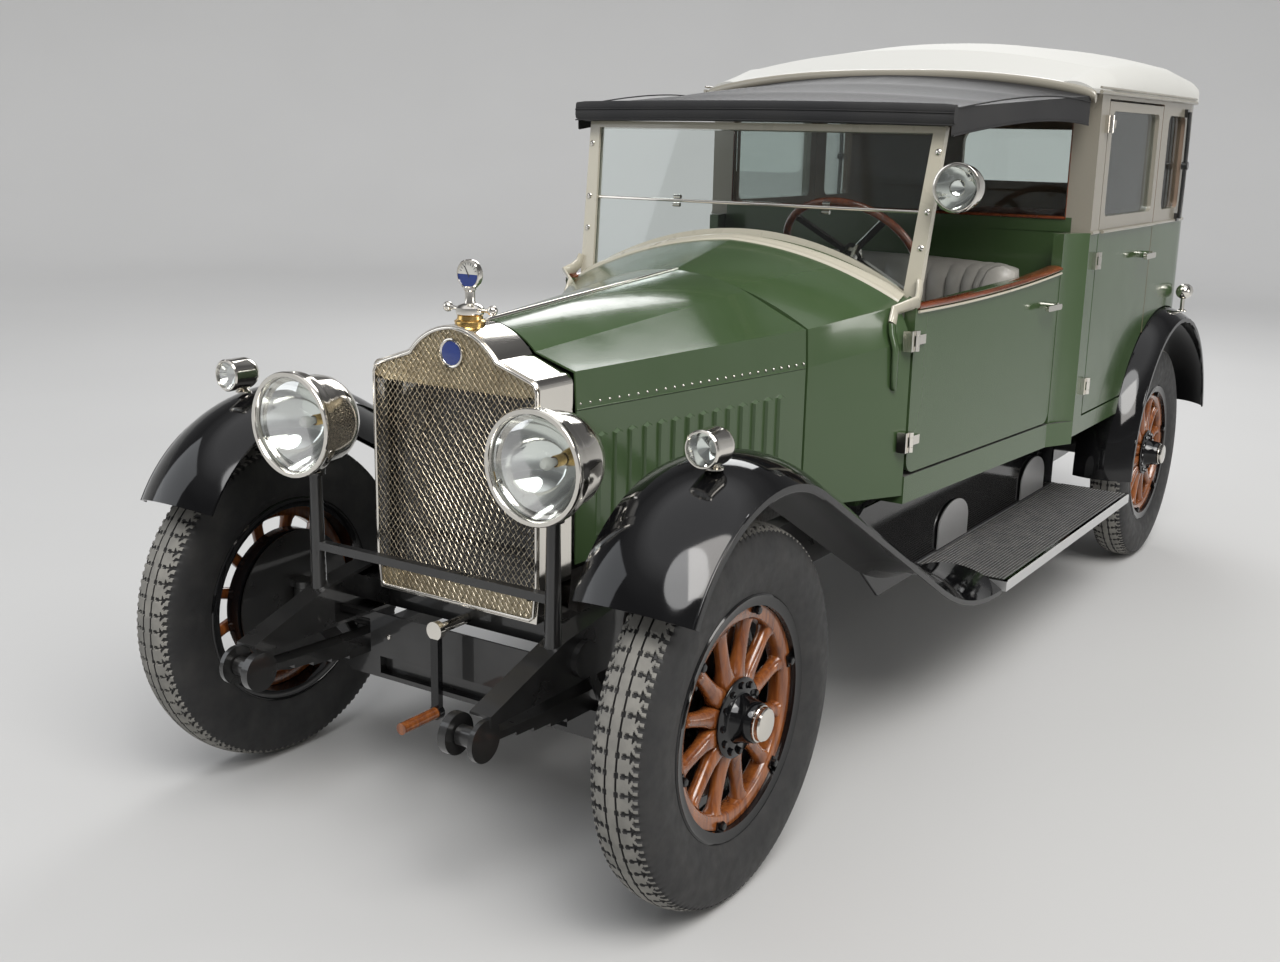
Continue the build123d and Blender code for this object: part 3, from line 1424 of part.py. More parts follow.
rear_path = {
    "start": (*on_circle((arch_y, arch_z), rear_fender_radius, -89), 0),
    "up": -1,
    "stretches": [
        [
            on_circle((arch_y, arch_z), rear_fender_radius, -89),
            on_circle((arch_y, arch_z), rear_fender_radius, 0),
            on_circle((arch_y, arch_z), rear_fender_radius, 76),
        ],
    ],
}
build_fender("front_fenders", front_path, board_inner + 142.0, 142.0, 132.0, 34.0, 52.0)
build_fender("rear_fenders", rear_path, cabin_half - 15.0, 112.0, 98.0, 20.0, 42.0)

# running boards and the upright aprons between them and the body
board_front_y = fender_foot_y + panel_clearance
board_rear_y = arch_y - rear_fender_radius - 6
with BuildPart() as running_boards:
    board_length = board_rear_y - board_front_y
    with Locations(
        ((board_inner + board_outer) / 2, board_front_y + board_length / 2, board_top - board_thickness / 2)
    ):
        board = Box(board_outer - board_inner, board_length, board_thickness)
    mirror(about=Plane.YZ)
save(running_boards, "running_boards")

apron_thickness = 8.0
apron_front_y = bonnet_front_y + 250
with BuildPart() as splash_aprons:
    with BuildSketch(Plane.YZ.offset(board_inner - apron_thickness - panel_clearance)):
        with BuildLine():
            Polyline(
                (board_front_y - 260, board_top - board_thickness),
                (board_rear_y, board_top - board_thickness),
                (board_rear_y, body_bottom - floor_thickness - panel_clearance),
                (door_front_y - 120, body_bottom - floor_thickness - panel_clearance),
                (board_front_y - 520, 560.0),
                close=True,
            )
        make_face()
    extrude(amount=apron_thickness)
    mirror(about=Plane.YZ)
save(splash_aprons, "splash_aprons")

# headlamps on posts from the frame, with separate lenses
with BuildPart() as headlamps:
    lamp_plane = Plane(origin=(lamp_x, lamp_y, lamp_z), x_dir=(1, 0, 0), z_dir=(0, -1, 0))
    for near, far, near_radius, far_radius in (
        (-30, 8, lamp_radius - 4, lamp_radius),
        (-125, -30, 92, lamp_radius - 12),
        (-165, -125, 50, 92),
    ):
        with BuildSketch(lamp_plane.offset(near)):
            Circle(near_radius)
        with BuildSketch(lamp_plane.offset(far)):
            Circle(far_radius)
        loft()
    with BuildSketch(lamp_plane.offset(-100)):
        Circle(60)
    with BuildSketch(lamp_plane.offset(-12)):
        Circle(lamp_radius - 20)
    loft(mode=Mode.SUBTRACT)
    with BuildSketch(lamp_plane.offset(-12)):
        Circle(lamp_radius - 14)
    extrude(amount=21, mode=Mode.SUBTRACT)
    mirror(about=Plane.YZ)
save(headlamps, "headlamps")
with BuildPart() as headlamp_lenses:
    with BuildSketch(lamp_plane.offset(-11)):
        Circle(lamp_radius - 14 - panel_clearance)
    with BuildSketch(lamp_plane.offset(12)):
        Circle(lamp_radius - 60)
    loft()
    mirror(about=Plane.YZ)
save(headlamp_lenses, "headlamp_lenses")

# bullet side lamps on the front fenders and small lamps on the rear fenders
small_lamps = [
    # x, y, height, radius, length, fender top below it
    (683.0, axle_y_front - 79.0, 1020.0, 40.0, 110.0, 971.9),
    (cabin_half + 37.0, axle_y_rear + 190.0, 1048.0, 30.0, 70.0, 970.2),
]
with BuildPart() as side_lamps:
    for small_x, small_y, small_z, radius, length, foot_z in small_lamps:
        with Locations((small_x, small_y, small_z)):
            Sphere(radius)
            Cylinder(radius, length / 2, rotation=(90, 0, 0), align=(Align.CENTER, Align.CENTER, Align.MIN))
        with Locations((small_x, small_y, (foot_z + small_z) / 2)):
            Cylinder(13, small_z - foot_z)
    mirror(about=Plane.YZ)
    spot_x, spot_y, spot_z = 660.0, screen_y + 10.0, 1497.0
    with Locations((spot_x, spot_y, spot_z)):
        Sphere(62)
        Cylinder(66, 40, rotation=(90, 0, 0), align=(Align.CENTER, Align.CENTER, Align.MIN))
    with Locations((spot_x - 57.4, spot_y + 42, spot_z)):
        Box(44.8, 20, 30)
save(side_lamps, "side_lamps")

# blank front plate on its bar, and the starting handle
plate_y = frame_nose_y + 330
plate_z = 430.0
plate_bolt_radius = 3.5
plate_bolt_spacing = 400.0
with BuildPart() as number_plate:
    with Locations((0, plate_y, plate_z)):
        Box(520, 4, 110)
    with BuildSketch(Plane.XZ.offset(-plate_y - 4)):
        with Locations((-plate_bolt_spacing / 2, plate_z), (plate_bolt_spacing / 2, plate_z)):
            Circle(plate_bolt_radius)
    extrude(amount=8, mode=Mode.SUBTRACT)
    with Locations((0, plate_y + 10, 470)):
        Box(2 * (rail_outer_x - rail_web) - 2 * panel_clearance, 16, 16)
save(number_plate, "number_plate")
handle_y_front = radiator_front_y - 62
with BuildPart() as starting_handle:
    with BuildSketch(Plane.XZ.offset(-axle_y_front - 10)):
        with Locations((0, crank_z)):
            Circle(crank_radius)
    extrude(amount=axle_y_front + 10 - handle_y_front)
    with BuildSketch(Plane.XZ.offset(-handle_y_front)):
        with Locations((0, crank_z)):
            Circle(22)
        with Locations((0, crank_z - 100)):
            Rectangle(22, 200)
        with Locations((0, crank_z - 200)):
            Circle(17)
    extrude(amount=16)
    with BuildSketch(Plane.XZ.offset(-handle_y_front + 16)):
        with Locations((0, crank_z - 200)):
            Circle(14)
    extrude(amount=115)
save(starting_handle, "starting_handle")

# steering wheel, and its column down to the box on the frame
with BuildPart() as steering_wheel:
    with BuildSketch(Plane(origin=wheel_hub, x_dir=(1, 0, 0), z_dir=(0, column_dir[2], -column_dir[1]))):
        with Locations((steering_rim_radius, 0)):
            Circle(12)
    revolve(axis=Axis(wheel_hub, column_dir))
    with BuildSketch(steering_plane.offset(-5)):
        with PolarLocations(0, 4, start_angle=45):
            with Locations((steering_rim_radius / 2, 0)):
                Rectangle(steering_rim_radius, 20)
        Circle(34)
    extrude(amount=9)
    with BuildSketch(steering_plane.offset(-30)):
        Circle(26)
    extrude(amount=50)
save(steering_wheel, "steering_wheel")

with BuildPart() as steering_column:
    with BuildSketch(steering_plane.offset(-column_length)):
        Circle(column_radius)
    extrude(amount=column_length - 31)
    column_foot = steering_plane.offset(-column_length).origin
    with Locations((rail_outer_x - rail_flange - 33, column_foot.Y, column_foot.Z - 25)):
        Box(64, 130, 130)
save(steering_column, "steering_column")

# driver's bench and rear seat, plain closed cushions
seat_top = 930.0
bench_rear_y = door_rear_y + 70
with BuildPart() as seats:
    with BuildSketch(Plane.XY.offset(body_bottom + panel_clearance)):
        with BuildLine():
            Polyline(
                (-560, bench_rear_y - 60),
                (-540, bench_rear_y - 560),
                (540, bench_rear_y - 560),
                (560, bench_rear_y - 60),
                close=True,
            )
        seat_plan = make_face()
        fillet(seat_plan.vertices(), 50)
    extrude(amount=seat_top - body_bottom)
    with BuildSketch(Plane.XY.offset(body_bottom + panel_clearance)):
        with BuildLine():
            back_half = 600.0
            ThreePointArc((-back_half, bench_rear_y - 330), (0, bench_rear_y), (back_half, bench_rear_y - 330))
            Line((back_half, bench_rear_y - 330), (back_half - 80, bench_rear_y - 350))
            ThreePointArc((back_half - 80, bench_rear_y - 350), (0, bench_rear_y - 110), (80 - back_half, bench_rear_y - 350))
            Line((80 - back_half, bench_rear_y - 350), (-back_half, bench_rear_y - 330))
        make_face()
    extrude(amount=1240 - body_bottom)
    rear_seat_front = cabin_rear_y - 780.0
    with Locations((0, rear_seat_front + 260, deck_z + 0.3 + 120)):
        Box(2 * wheelhouse_half - 24, 520, 240)
    with Locations((0, rear_seat_front + 610, deck_z + 0.3 + 310)):
        Box(2 * wheelhouse_half - 230, 180, 620)
save(seats, "seats")

# hood irons on the rear quarters
with BuildPart() as hood_irons:
    iron_x = cabin_half + 11
    iron_y = rear_door_rear_y + 330
    for end_z in (1345.0, 1735.0):
        with Locations((iron_x - 5, iron_y, end_z)):
            Box(11.4, 34, 30)
    with BuildLine() as iron_path:
        iron_middle = ((iron_y + 10), 1540.0)
        ThreePointArc((iron_x + 4, iron_y, 1340), (iron_x + 4, *iron_middle), (iron_x + 4, iron_y, 1740))
    with BuildSketch(Plane(origin=(iron_x + 4, iron_y, 1340), z_dir=iron_path.line % 0)):
        Circle(8)
    sweep(path=iron_path.line)
    with Locations((iron_x + 4, iron_y + 10, 1540)):
        Cylinder(15, 22, rotation=(0, 90, 0))
    mirror(about=Plane.YZ)
save(hood_irons, "hood_irons")
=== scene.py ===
"""Dresses the vintage town car: finishes, soft parts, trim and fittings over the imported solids."""

import itertools
import logging
import math
from dataclasses import dataclass, field
from enum import Enum

import bmesh
import bpy
import numpy as np
from mathutils import Matrix, Vector
from mathutils.bvhtree import BVHTree


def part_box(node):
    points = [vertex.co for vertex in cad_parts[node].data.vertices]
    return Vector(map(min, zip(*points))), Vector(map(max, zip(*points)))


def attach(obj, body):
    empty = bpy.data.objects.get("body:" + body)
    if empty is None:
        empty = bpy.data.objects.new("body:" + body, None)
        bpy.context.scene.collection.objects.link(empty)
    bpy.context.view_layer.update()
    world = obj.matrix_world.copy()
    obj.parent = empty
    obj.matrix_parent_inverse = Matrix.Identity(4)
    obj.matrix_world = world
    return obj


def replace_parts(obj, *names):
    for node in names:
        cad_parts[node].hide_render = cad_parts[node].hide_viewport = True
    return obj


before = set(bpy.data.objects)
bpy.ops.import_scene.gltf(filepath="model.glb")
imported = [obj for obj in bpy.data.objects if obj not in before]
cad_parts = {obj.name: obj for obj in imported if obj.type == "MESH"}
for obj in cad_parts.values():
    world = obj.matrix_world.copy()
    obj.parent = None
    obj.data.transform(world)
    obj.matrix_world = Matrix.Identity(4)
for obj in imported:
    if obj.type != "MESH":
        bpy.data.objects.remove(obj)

logging.basicConfig(level=logging.INFO, format="%(message)s")
log = logging.getLogger("scene")

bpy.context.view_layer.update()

Point = tuple[float, float, float]
Color = tuple[float, float, float]
Profile = list[tuple[float, float]]

# Places and sizes, in metres.
AXLE_FRONT_Y = -1.850
AXLE_REAR_Y = 1.460
HALF_TRACK = 0.673
TYRE_RADIUS = 0.420
TYRE_WIDTH = 0.138
TREAD_RADIUS = 0.4197
TREAD_HALF = 0.0545
TREAD_CROWN = 0.0135
GROOVE_DEPTH = 0.0042
SPARE_CENTRE = (0.0, 2.243, 0.85)
BELT_Z = 1.333
BELT_RADIUS = 0.006
SCREEN_FOOT_Y = -0.636
SCREEN_FOOT_Z = 1.191
BOARD_INNER = 0.520
BOARD_OUTER = 0.808

# Angles, counts and colours.
SCREEN_RAKE = math.radians(9.3)
PARALLEL = 1e-4
TREAD_PITCHES = 66
BALL_STEPS = 20
CUSHION_FRAMES = 16
SHEET_FRAMES = 20
SIDES = ((1, "left"), (-1, "right"))
GREEN_PAINT = (0.046, 0.080, 0.032)
GREEN_DUST = (0.056, 0.090, 0.040)


class Kind(Enum):
    """The main kinds of surface that a finish can be."""

    PAINT = "paint"
    METAL = "metal"
    CLOTH = "cloth"
    LEATHER = "leather"
    WOOD = "wood"
    RUBBER = "rubber"
    GLASS = "glass"
    FLOOR = "floor"


@dataclass(frozen=True)
class Finish:
    """One finish, built as a procedural material.

    Attributes:
        name: The material's name.
        kind: What kind of surface it is.
        color: Main colour, linear.
        second: Colour of its grain, dust or wear.
        rough: Middle roughness.
        scale: Size of the pattern, in repeats to the metre.
        bump: Height of the pattern, as a share of one.
        along: Axis index that wood grain runs along.
        coat: Share of clear lacquer on a paint.
        upper: Colour above the split, or None for one colour.
        split: Height of the split.
    """

    name: str
    kind: Kind
    color: Color
    second: Color
    rough: float = 0.4
    scale: float = 30.0
    bump: float = 0.05
    along: int = 1
    coat: float = 0.8
    upper: Color | None = None
    split: float = 0.0

    def build(self) -> bpy.types.Material:
        """Build the material, or fetch it when it was built before.

        Returns:
            The finished material.
        """
        known = bpy.data.materials.get(self.name)
        if known is not None:
            return known
        material = bpy.data.materials.new(self.name)
        material.use_nodes = True
        Surface(material, self).paint()
        material.diffuse_color = (*self.color, 1.0)
        return material


class Surface:
    """Builds the nodes of one material."""

    def __init__(self, material: bpy.types.Material, finish: Finish) -> None:
        """Start from the material's own shader.

        Args:
            material: The material to fill.
            finish: The finish it shows.
        """
        self.tree = material.node_tree
        self.finish = finish
        self.shader = self.tree.nodes["Principled BSDF"]
        self.coords = self.tree.nodes.new("ShaderNodeTexCoord").outputs["Object"]

    def put(self, **values: float | tuple) -> None:
        """Set constants on the shader.

        Args:
            **values: Socket names, with spaces as underscores, and their values.
        """
        for name, value in values.items():
            self.shader.inputs[name.replace("_", " ")].default_value = value

    def stretched(self, factors: Point) -> bpy.types.NodeSocket:
        """Return the object coordinates scaled along each axis.

        Args:
            factors: Scale along x, y and z.

        Returns:
            The scaled coordinates.
        """
        mapping = self.tree.nodes.new("ShaderNodeMapping")
        mapping.inputs["Scale"].default_value = factors
        self.tree.links.new(self.coords, mapping.inputs["Vector"])
        return mapping.outputs["Vector"]

    def noise(
        self, scale: float, detail: float = 4.0, vector: bpy.types.NodeSocket | None = None
    ) -> bpy.types.NodeSocket:
        """Return a noise value from 0 to 1.

        Args:
            scale: Repeats to the metre.
            detail: Octaves of detail.
            vector: Coordinates, or None for the object's own.

        Returns:
            The noise value.
        """
        node = self.tree.nodes.new("ShaderNodeTexNoise")
        node.inputs["Scale"].default_value = scale
        node.inputs["Detail"].default_value = detail
        self.tree.links.new(vector or self.coords, node.inputs["Vector"])
        return node.outputs["Fac"]

    def spread(
        self, value: bpy.types.NodeSocket, low: float, high: float, start: float, stop: float
    ) -> bpy.types.NodeSocket:
        """Return a value mapped from one range to another, clamped.

        Args:
            value: The value to map.
            low: Start of the range it comes from.
            high: End of the range it comes from.
            start: Result at the range's start.
            stop: Result at the range's end.

        Returns:
            The mapped value.
        """
        node = self.tree.nodes.new("ShaderNodeMapRange")
        for name, number in (
            ("From Min", low), ("From Max", high), ("To Min", start), ("To Max", stop)
        ):
            node.inputs[name].default_value = number
        self.tree.links.new(value, node.inputs["Value"])
        return node.outputs["Result"]

    def blend(
        self, share: bpy.types.NodeSocket, first: Color | bpy.types.NodeSocket, second: Color
    ) -> bpy.types.NodeSocket:
        """Return a colour between two, by a share from 0 to 1.

        Args:
            share: Share of the second colour.
            first: Colour at zero.
            second: Colour at one.

        Returns:
            The blended colour.
        """
        node = self.tree.nodes.new("ShaderNodeMix")
        node.data_type = "RGBA"
        if isinstance(first, bpy.types.NodeSocket):
            self.tree.links.new(first, node.inputs["A"])
        else:
            node.inputs["A"].default_value = (*first, 1.0)
        node.inputs["B"].default_value = (*second, 1.0)
        self.tree.links.new(share, node.inputs["Factor"])
        return node.outputs["Result"]

    def emboss(self, height: bpy.types.NodeSocket, strength: float, depth: float) -> None:
        """Raise the surface by a height value.

        Args:
            height: The height value.
            strength: Share of the effect.
            depth: Depth in metres.
        """
        bump = self.tree.nodes.new("ShaderNodeBump")
        bump.inputs["Strength"].default_value = strength
        bump.inputs["Distance"].default_value = depth
        self.tree.links.new(height, bump.inputs["Height"])
        self.tree.links.new(bump.outputs["Normal"], self.shader.inputs["Normal"])

    def color(self, socket: bpy.types.NodeSocket) -> None:
        """Use a colour as the base colour.

        Args:
            socket: The colour.
        """
        self.tree.links.new(socket, self.shader.inputs["Base Color"])

    def roughen(self, share: bpy.types.NodeSocket, low: float, high: float) -> None:
        """Vary the roughness with a value.

        Args:
            share: Value from 0 to 1.
            low: Roughness at zero.
            high: Roughness at one.
        """
        mapped = self.spread(share, 0.3, 0.7, low, high)
        self.tree.links.new(mapped, self.shader.inputs["Roughness"])

    def paint(self) -> None:
        """Build the surface that the finish names."""
        getattr(self, "make_" + self.finish.kind.value)()

    def make_paint(self) -> None:
        """Lacquered paint with a little dust and slow waves."""
        f = self.finish
        dust = self.spread(self.noise(f.scale * 0.12, 3), 0.4, 0.8, 0.0, 0.3)
        shade = self.blend(dust, f.color, f.second)
        if f.upper is not None:
            parts = self.tree.nodes.new("ShaderNodeSeparateXYZ")
            self.tree.links.new(self.coords, parts.inputs["Vector"])
            above = self.spread(parts.outputs["Z"], f.split - 0.0004, f.split + 0.0004, 0.0, 1.0)
            shade = self.blend(above, shade, f.upper)
        self.color(shade)
        self.roughen(self.noise(f.scale * 0.25, 3), f.rough * 0.8, f.rough * 1.25)
        self.put(Coat_Weight=f.coat, Coat_Roughness=0.05)
        self.emboss(self.noise(4.0, 2), 0.06, 0.003)

    def make_metal(self) -> None:
        """Plated or bare metal with fine scratches and dull patches."""
        f = self.finish
        patch = self.noise(f.scale * 0.2, 5)
        self.color(self.blend(self.spread(patch, 0.4, 0.8, 0.0, 0.8), f.color, f.second))
        self.roughen(self.noise(f.scale, 6), f.rough * 0.7, f.rough * 1.4)
        self.put(Metallic=1.0)
        self.emboss(self.noise(f.scale * 6, 3), f.bump, 0.0006)

    def make_cloth(self) -> None:
        """Coated cloth with a fine pebbled grain."""
        f = self.finish
        grain = self.tree.nodes.new("ShaderNodeTexVoronoi")
        grain.inputs["Scale"].default_value = f.scale * 12
        self.tree.links.new(self.coords, grain.inputs["Vector"])
        dirt = self.spread(self.noise(f.scale * 0.1, 6), 0.4, 0.75, 0.0, 0.6)
        self.color(self.blend(dirt, f.color, f.second))
        self.put(Roughness=f.rough)
        self.emboss(grain.outputs["Distance"], 0.35, 0.0012)

    def make_leather(self) -> None:
        """Leather with a pebbled grain and worn, lighter places."""
        f = self.finish
        grain = self.tree.nodes.new("ShaderNodeTexVoronoi")
        grain.feature = "DISTANCE_TO_EDGE"
        grain.inputs["Scale"].default_value = f.scale * 9
        self.tree.links.new(self.coords, grain.inputs["Vector"])
        wear = self.spread(self.noise(f.scale * 0.15, 6), 0.45, 0.7, 0.0, 0.7)
        self.color(self.blend(wear, f.color, f.second))
        self.roughen(self.noise(f.scale * 0.5), f.rough * 0.8, f.rough * 1.3)
        self.emboss(grain.outputs["Distance"], 0.4, 0.001)

    def make_wood(self) -> None:
        """Varnished wood with a grain that runs along one axis."""
        f = self.finish
        factors = [9.0, 9.0, 9.0]
        factors[f.along] = 0.7
        grain = self.noise(f.scale, 8, self.stretched(tuple(factors)))
        self.color(self.blend(self.spread(grain, 0.35, 0.65, 0.0, 1.0), f.color, f.second))
        self.roughen(grain, f.rough * 0.8, f.rough * 1.3)
        self.put(Coat_Weight=0.7, Coat_Roughness=0.1)
        self.emboss(grain, 0.1, 0.001)

    def make_rubber(self) -> None:
        """Rubber with dust in its low places."""
        f = self.finish
        dust = self.spread(self.noise(f.scale * 0.4, 7), 0.4, 0.7, 0.0, 0.8)
        self.color(self.blend(dust, f.color, f.second))
        self.roughen(self.noise(f.scale), f.rough * 0.85, f.rough * 1.1)
        self.emboss(self.noise(f.scale * 4, 4), 0.25, 0.001)

    def make_glass(self) -> None:
        """Thin clear glass: mostly clear, with a mirror sheen at a low angle."""
        f = self.finish
        nodes, links = self.tree.nodes, self.tree.links
        clear = nodes.new("ShaderNodeBsdfTransparent")
        clear.inputs["Color"].default_value = (*f.color, 1.0)
        gloss = nodes.new("ShaderNodeBsdfGlossy")
        gloss.inputs["Roughness"].default_value = f.rough
        edge = nodes.new("ShaderNodeFresnel")
        edge.inputs["IOR"].default_value = 1.5
        share = self.spread(edge.outputs["Fac"], 0.04, 1.0, 0.03, 0.55)
        mix = nodes.new("ShaderNodeMixShader")
        links.new(share, mix.inputs[0])
        links.new(clear.outputs[0], mix.inputs[1])
        links.new(gloss.outputs[0], mix.inputs[2])
        links.new(mix.outputs[0], nodes["Material Output"].inputs["Surface"])

    def make_floor(self) -> None:
        """Plain matt floor."""
        f = self.finish
        self.color(self.blend(self.noise(0.6, 2), f.color, f.second))
        self.put(Roughness=f.rough)


class Look:
    """Every finish on the car."""

    GREEN = Finish("body_green", Kind.PAINT, GREEN_PAINT, GREEN_DUST, 0.17, 40, coat=0.25)
    TWO_TONE = Finish(
        "cabin_two_tone", Kind.PAINT, GREEN_PAINT, GREEN_DUST, 0.17, 40, coat=0.25,
        upper=(0.27, 0.25, 0.205), split=BELT_Z,
    )
    STONE = Finish("upper_stone", Kind.PAINT, (0.29, 0.27, 0.22), (0.36, 0.33, 0.27), 0.35, 40)
    BLACK = Finish(
        "wing_black", Kind.PAINT, (0.004, 0.004, 0.0045), (0.010, 0.010, 0.010), 0.07, 40, coat=0.0
    )
    CHASSIS = Finish(
        "chassis_black", Kind.PAINT, (0.010, 0.010, 0.010), (0.030, 0.028, 0.026), 0.32, 60
    )
    NICKEL = Finish("nickel", Kind.METAL, (0.70, 0.63, 0.51), (0.54, 0.47, 0.36), 0.22, 25, 0.02)
    BRIGHT = Finish("bright_metal", Kind.METAL, (0.92, 0.92, 0.9), (0.8, 0.8, 0.78), 0.08, 25, 0.01)
    BRASS = Finish("brass", Kind.METAL, (0.72, 0.49, 0.18), (0.5, 0.33, 0.14), 0.22, 30, 0.03)
    BRONZE = Finish(
        "bronze_mesh", Kind.METAL, (0.42, 0.365, 0.255), (0.28, 0.23, 0.15), 0.4, 60, 0.1
    )
    ALUMINIUM = Finish(
        "aluminium", Kind.METAL, (0.62, 0.62, 0.61), (0.42, 0.41, 0.39), 0.32, 60, 0.08
    )
    STEEL = Finish("bare_steel", Kind.METAL, (0.32, 0.31, 0.3), (0.2, 0.15, 0.11), 0.42, 60, 0.1)
    IRON = Finish("cast_iron", Kind.METAL, (0.14, 0.14, 0.14), (0.1, 0.08, 0.06), 0.6, 80, 0.3)
    CORE = Finish("core_black", Kind.PAINT, (0.010, 0.010, 0.011), (0.03, 0.03, 0.03), 0.6, 90)
    CREAM = Finish("cream_frame", Kind.PAINT, (0.50, 0.47, 0.38), (0.42, 0.38, 0.30), 0.3, 40)
    ROOF = Finish("roof_cloth", Kind.CLOTH, (0.165, 0.165, 0.155), (0.13, 0.13, 0.12), 0.8, 40)
    HEAD = Finish("head_cloth", Kind.CLOTH, (0.012, 0.012, 0.0135), (0.028, 0.027, 0.026), 0.62, 45)
    LEATHER = Finish(
        "seat_leather", Kind.LEATHER, (0.30, 0.29, 0.265), (0.46, 0.44, 0.40), 0.36, 40
    )
    PLUSH = Finish("cabin_plush", Kind.CLOTH, (0.115, 0.045, 0.035), (0.16, 0.075, 0.055), 0.9, 60)
    LINING = Finish("cabin_lining", Kind.CLOTH, (0.20, 0.14, 0.10), (0.26, 0.19, 0.14), 0.9, 60)
    SPOKE = Finish(
        "spoke_wood", Kind.WOOD, (0.27, 0.085, 0.020), (0.13, 0.036, 0.010), 0.22, 9, along=2
    )
    MAHOGANY = Finish("mahogany", Kind.WOOD, (0.20, 0.050, 0.018), (0.10, 0.024, 0.010), 0.22, 9)
    TYRE = Finish(
        "tyre_rubber", Kind.RUBBER, (0.014, 0.014, 0.0145), (0.026, 0.025, 0.024), 0.62, 40
    )
    WOVEN = Finish("woven_wire", Kind.METAL, (0.56, 0.50, 0.39), (0.34, 0.29, 0.21), 0.30, 60, 0.02)
    SATIN = Finish(
        "plate_black", Kind.PAINT, (0.007, 0.007, 0.007), (0.014, 0.014, 0.014), 0.42, 60
    )
    TREAD = Finish("tread_rubber", Kind.RUBBER, (0.19, 0.185, 0.17), (0.27, 0.26, 0.235), 0.9, 60)
    MAT = Finish("rubber_mat", Kind.RUBBER, (0.035, 0.034, 0.033), (0.09, 0.085, 0.08), 0.8, 60)
    GLASS = Finish("clear_glass", Kind.GLASS, (0.93, 0.96, 0.95), (1, 1, 1), 0.02)
    ENAMEL = Finish("blue_enamel", Kind.PAINT, (0.012, 0.035, 0.20), (0.02, 0.05, 0.25), 0.15, 60)
    DIAL = Finish("dial_white", Kind.PAINT, (0.65, 0.64, 0.60), (0.5, 0.5, 0.46), 0.3, 60)
    RED = Finish("red_lens", Kind.PAINT, (0.35, 0.012, 0.01), (0.4, 0.03, 0.02), 0.12, 60)
    FLOOR = Finish("floor", Kind.FLOOR, (0.52, 0.52, 0.515), (0.49, 0.49, 0.485), 0.7)


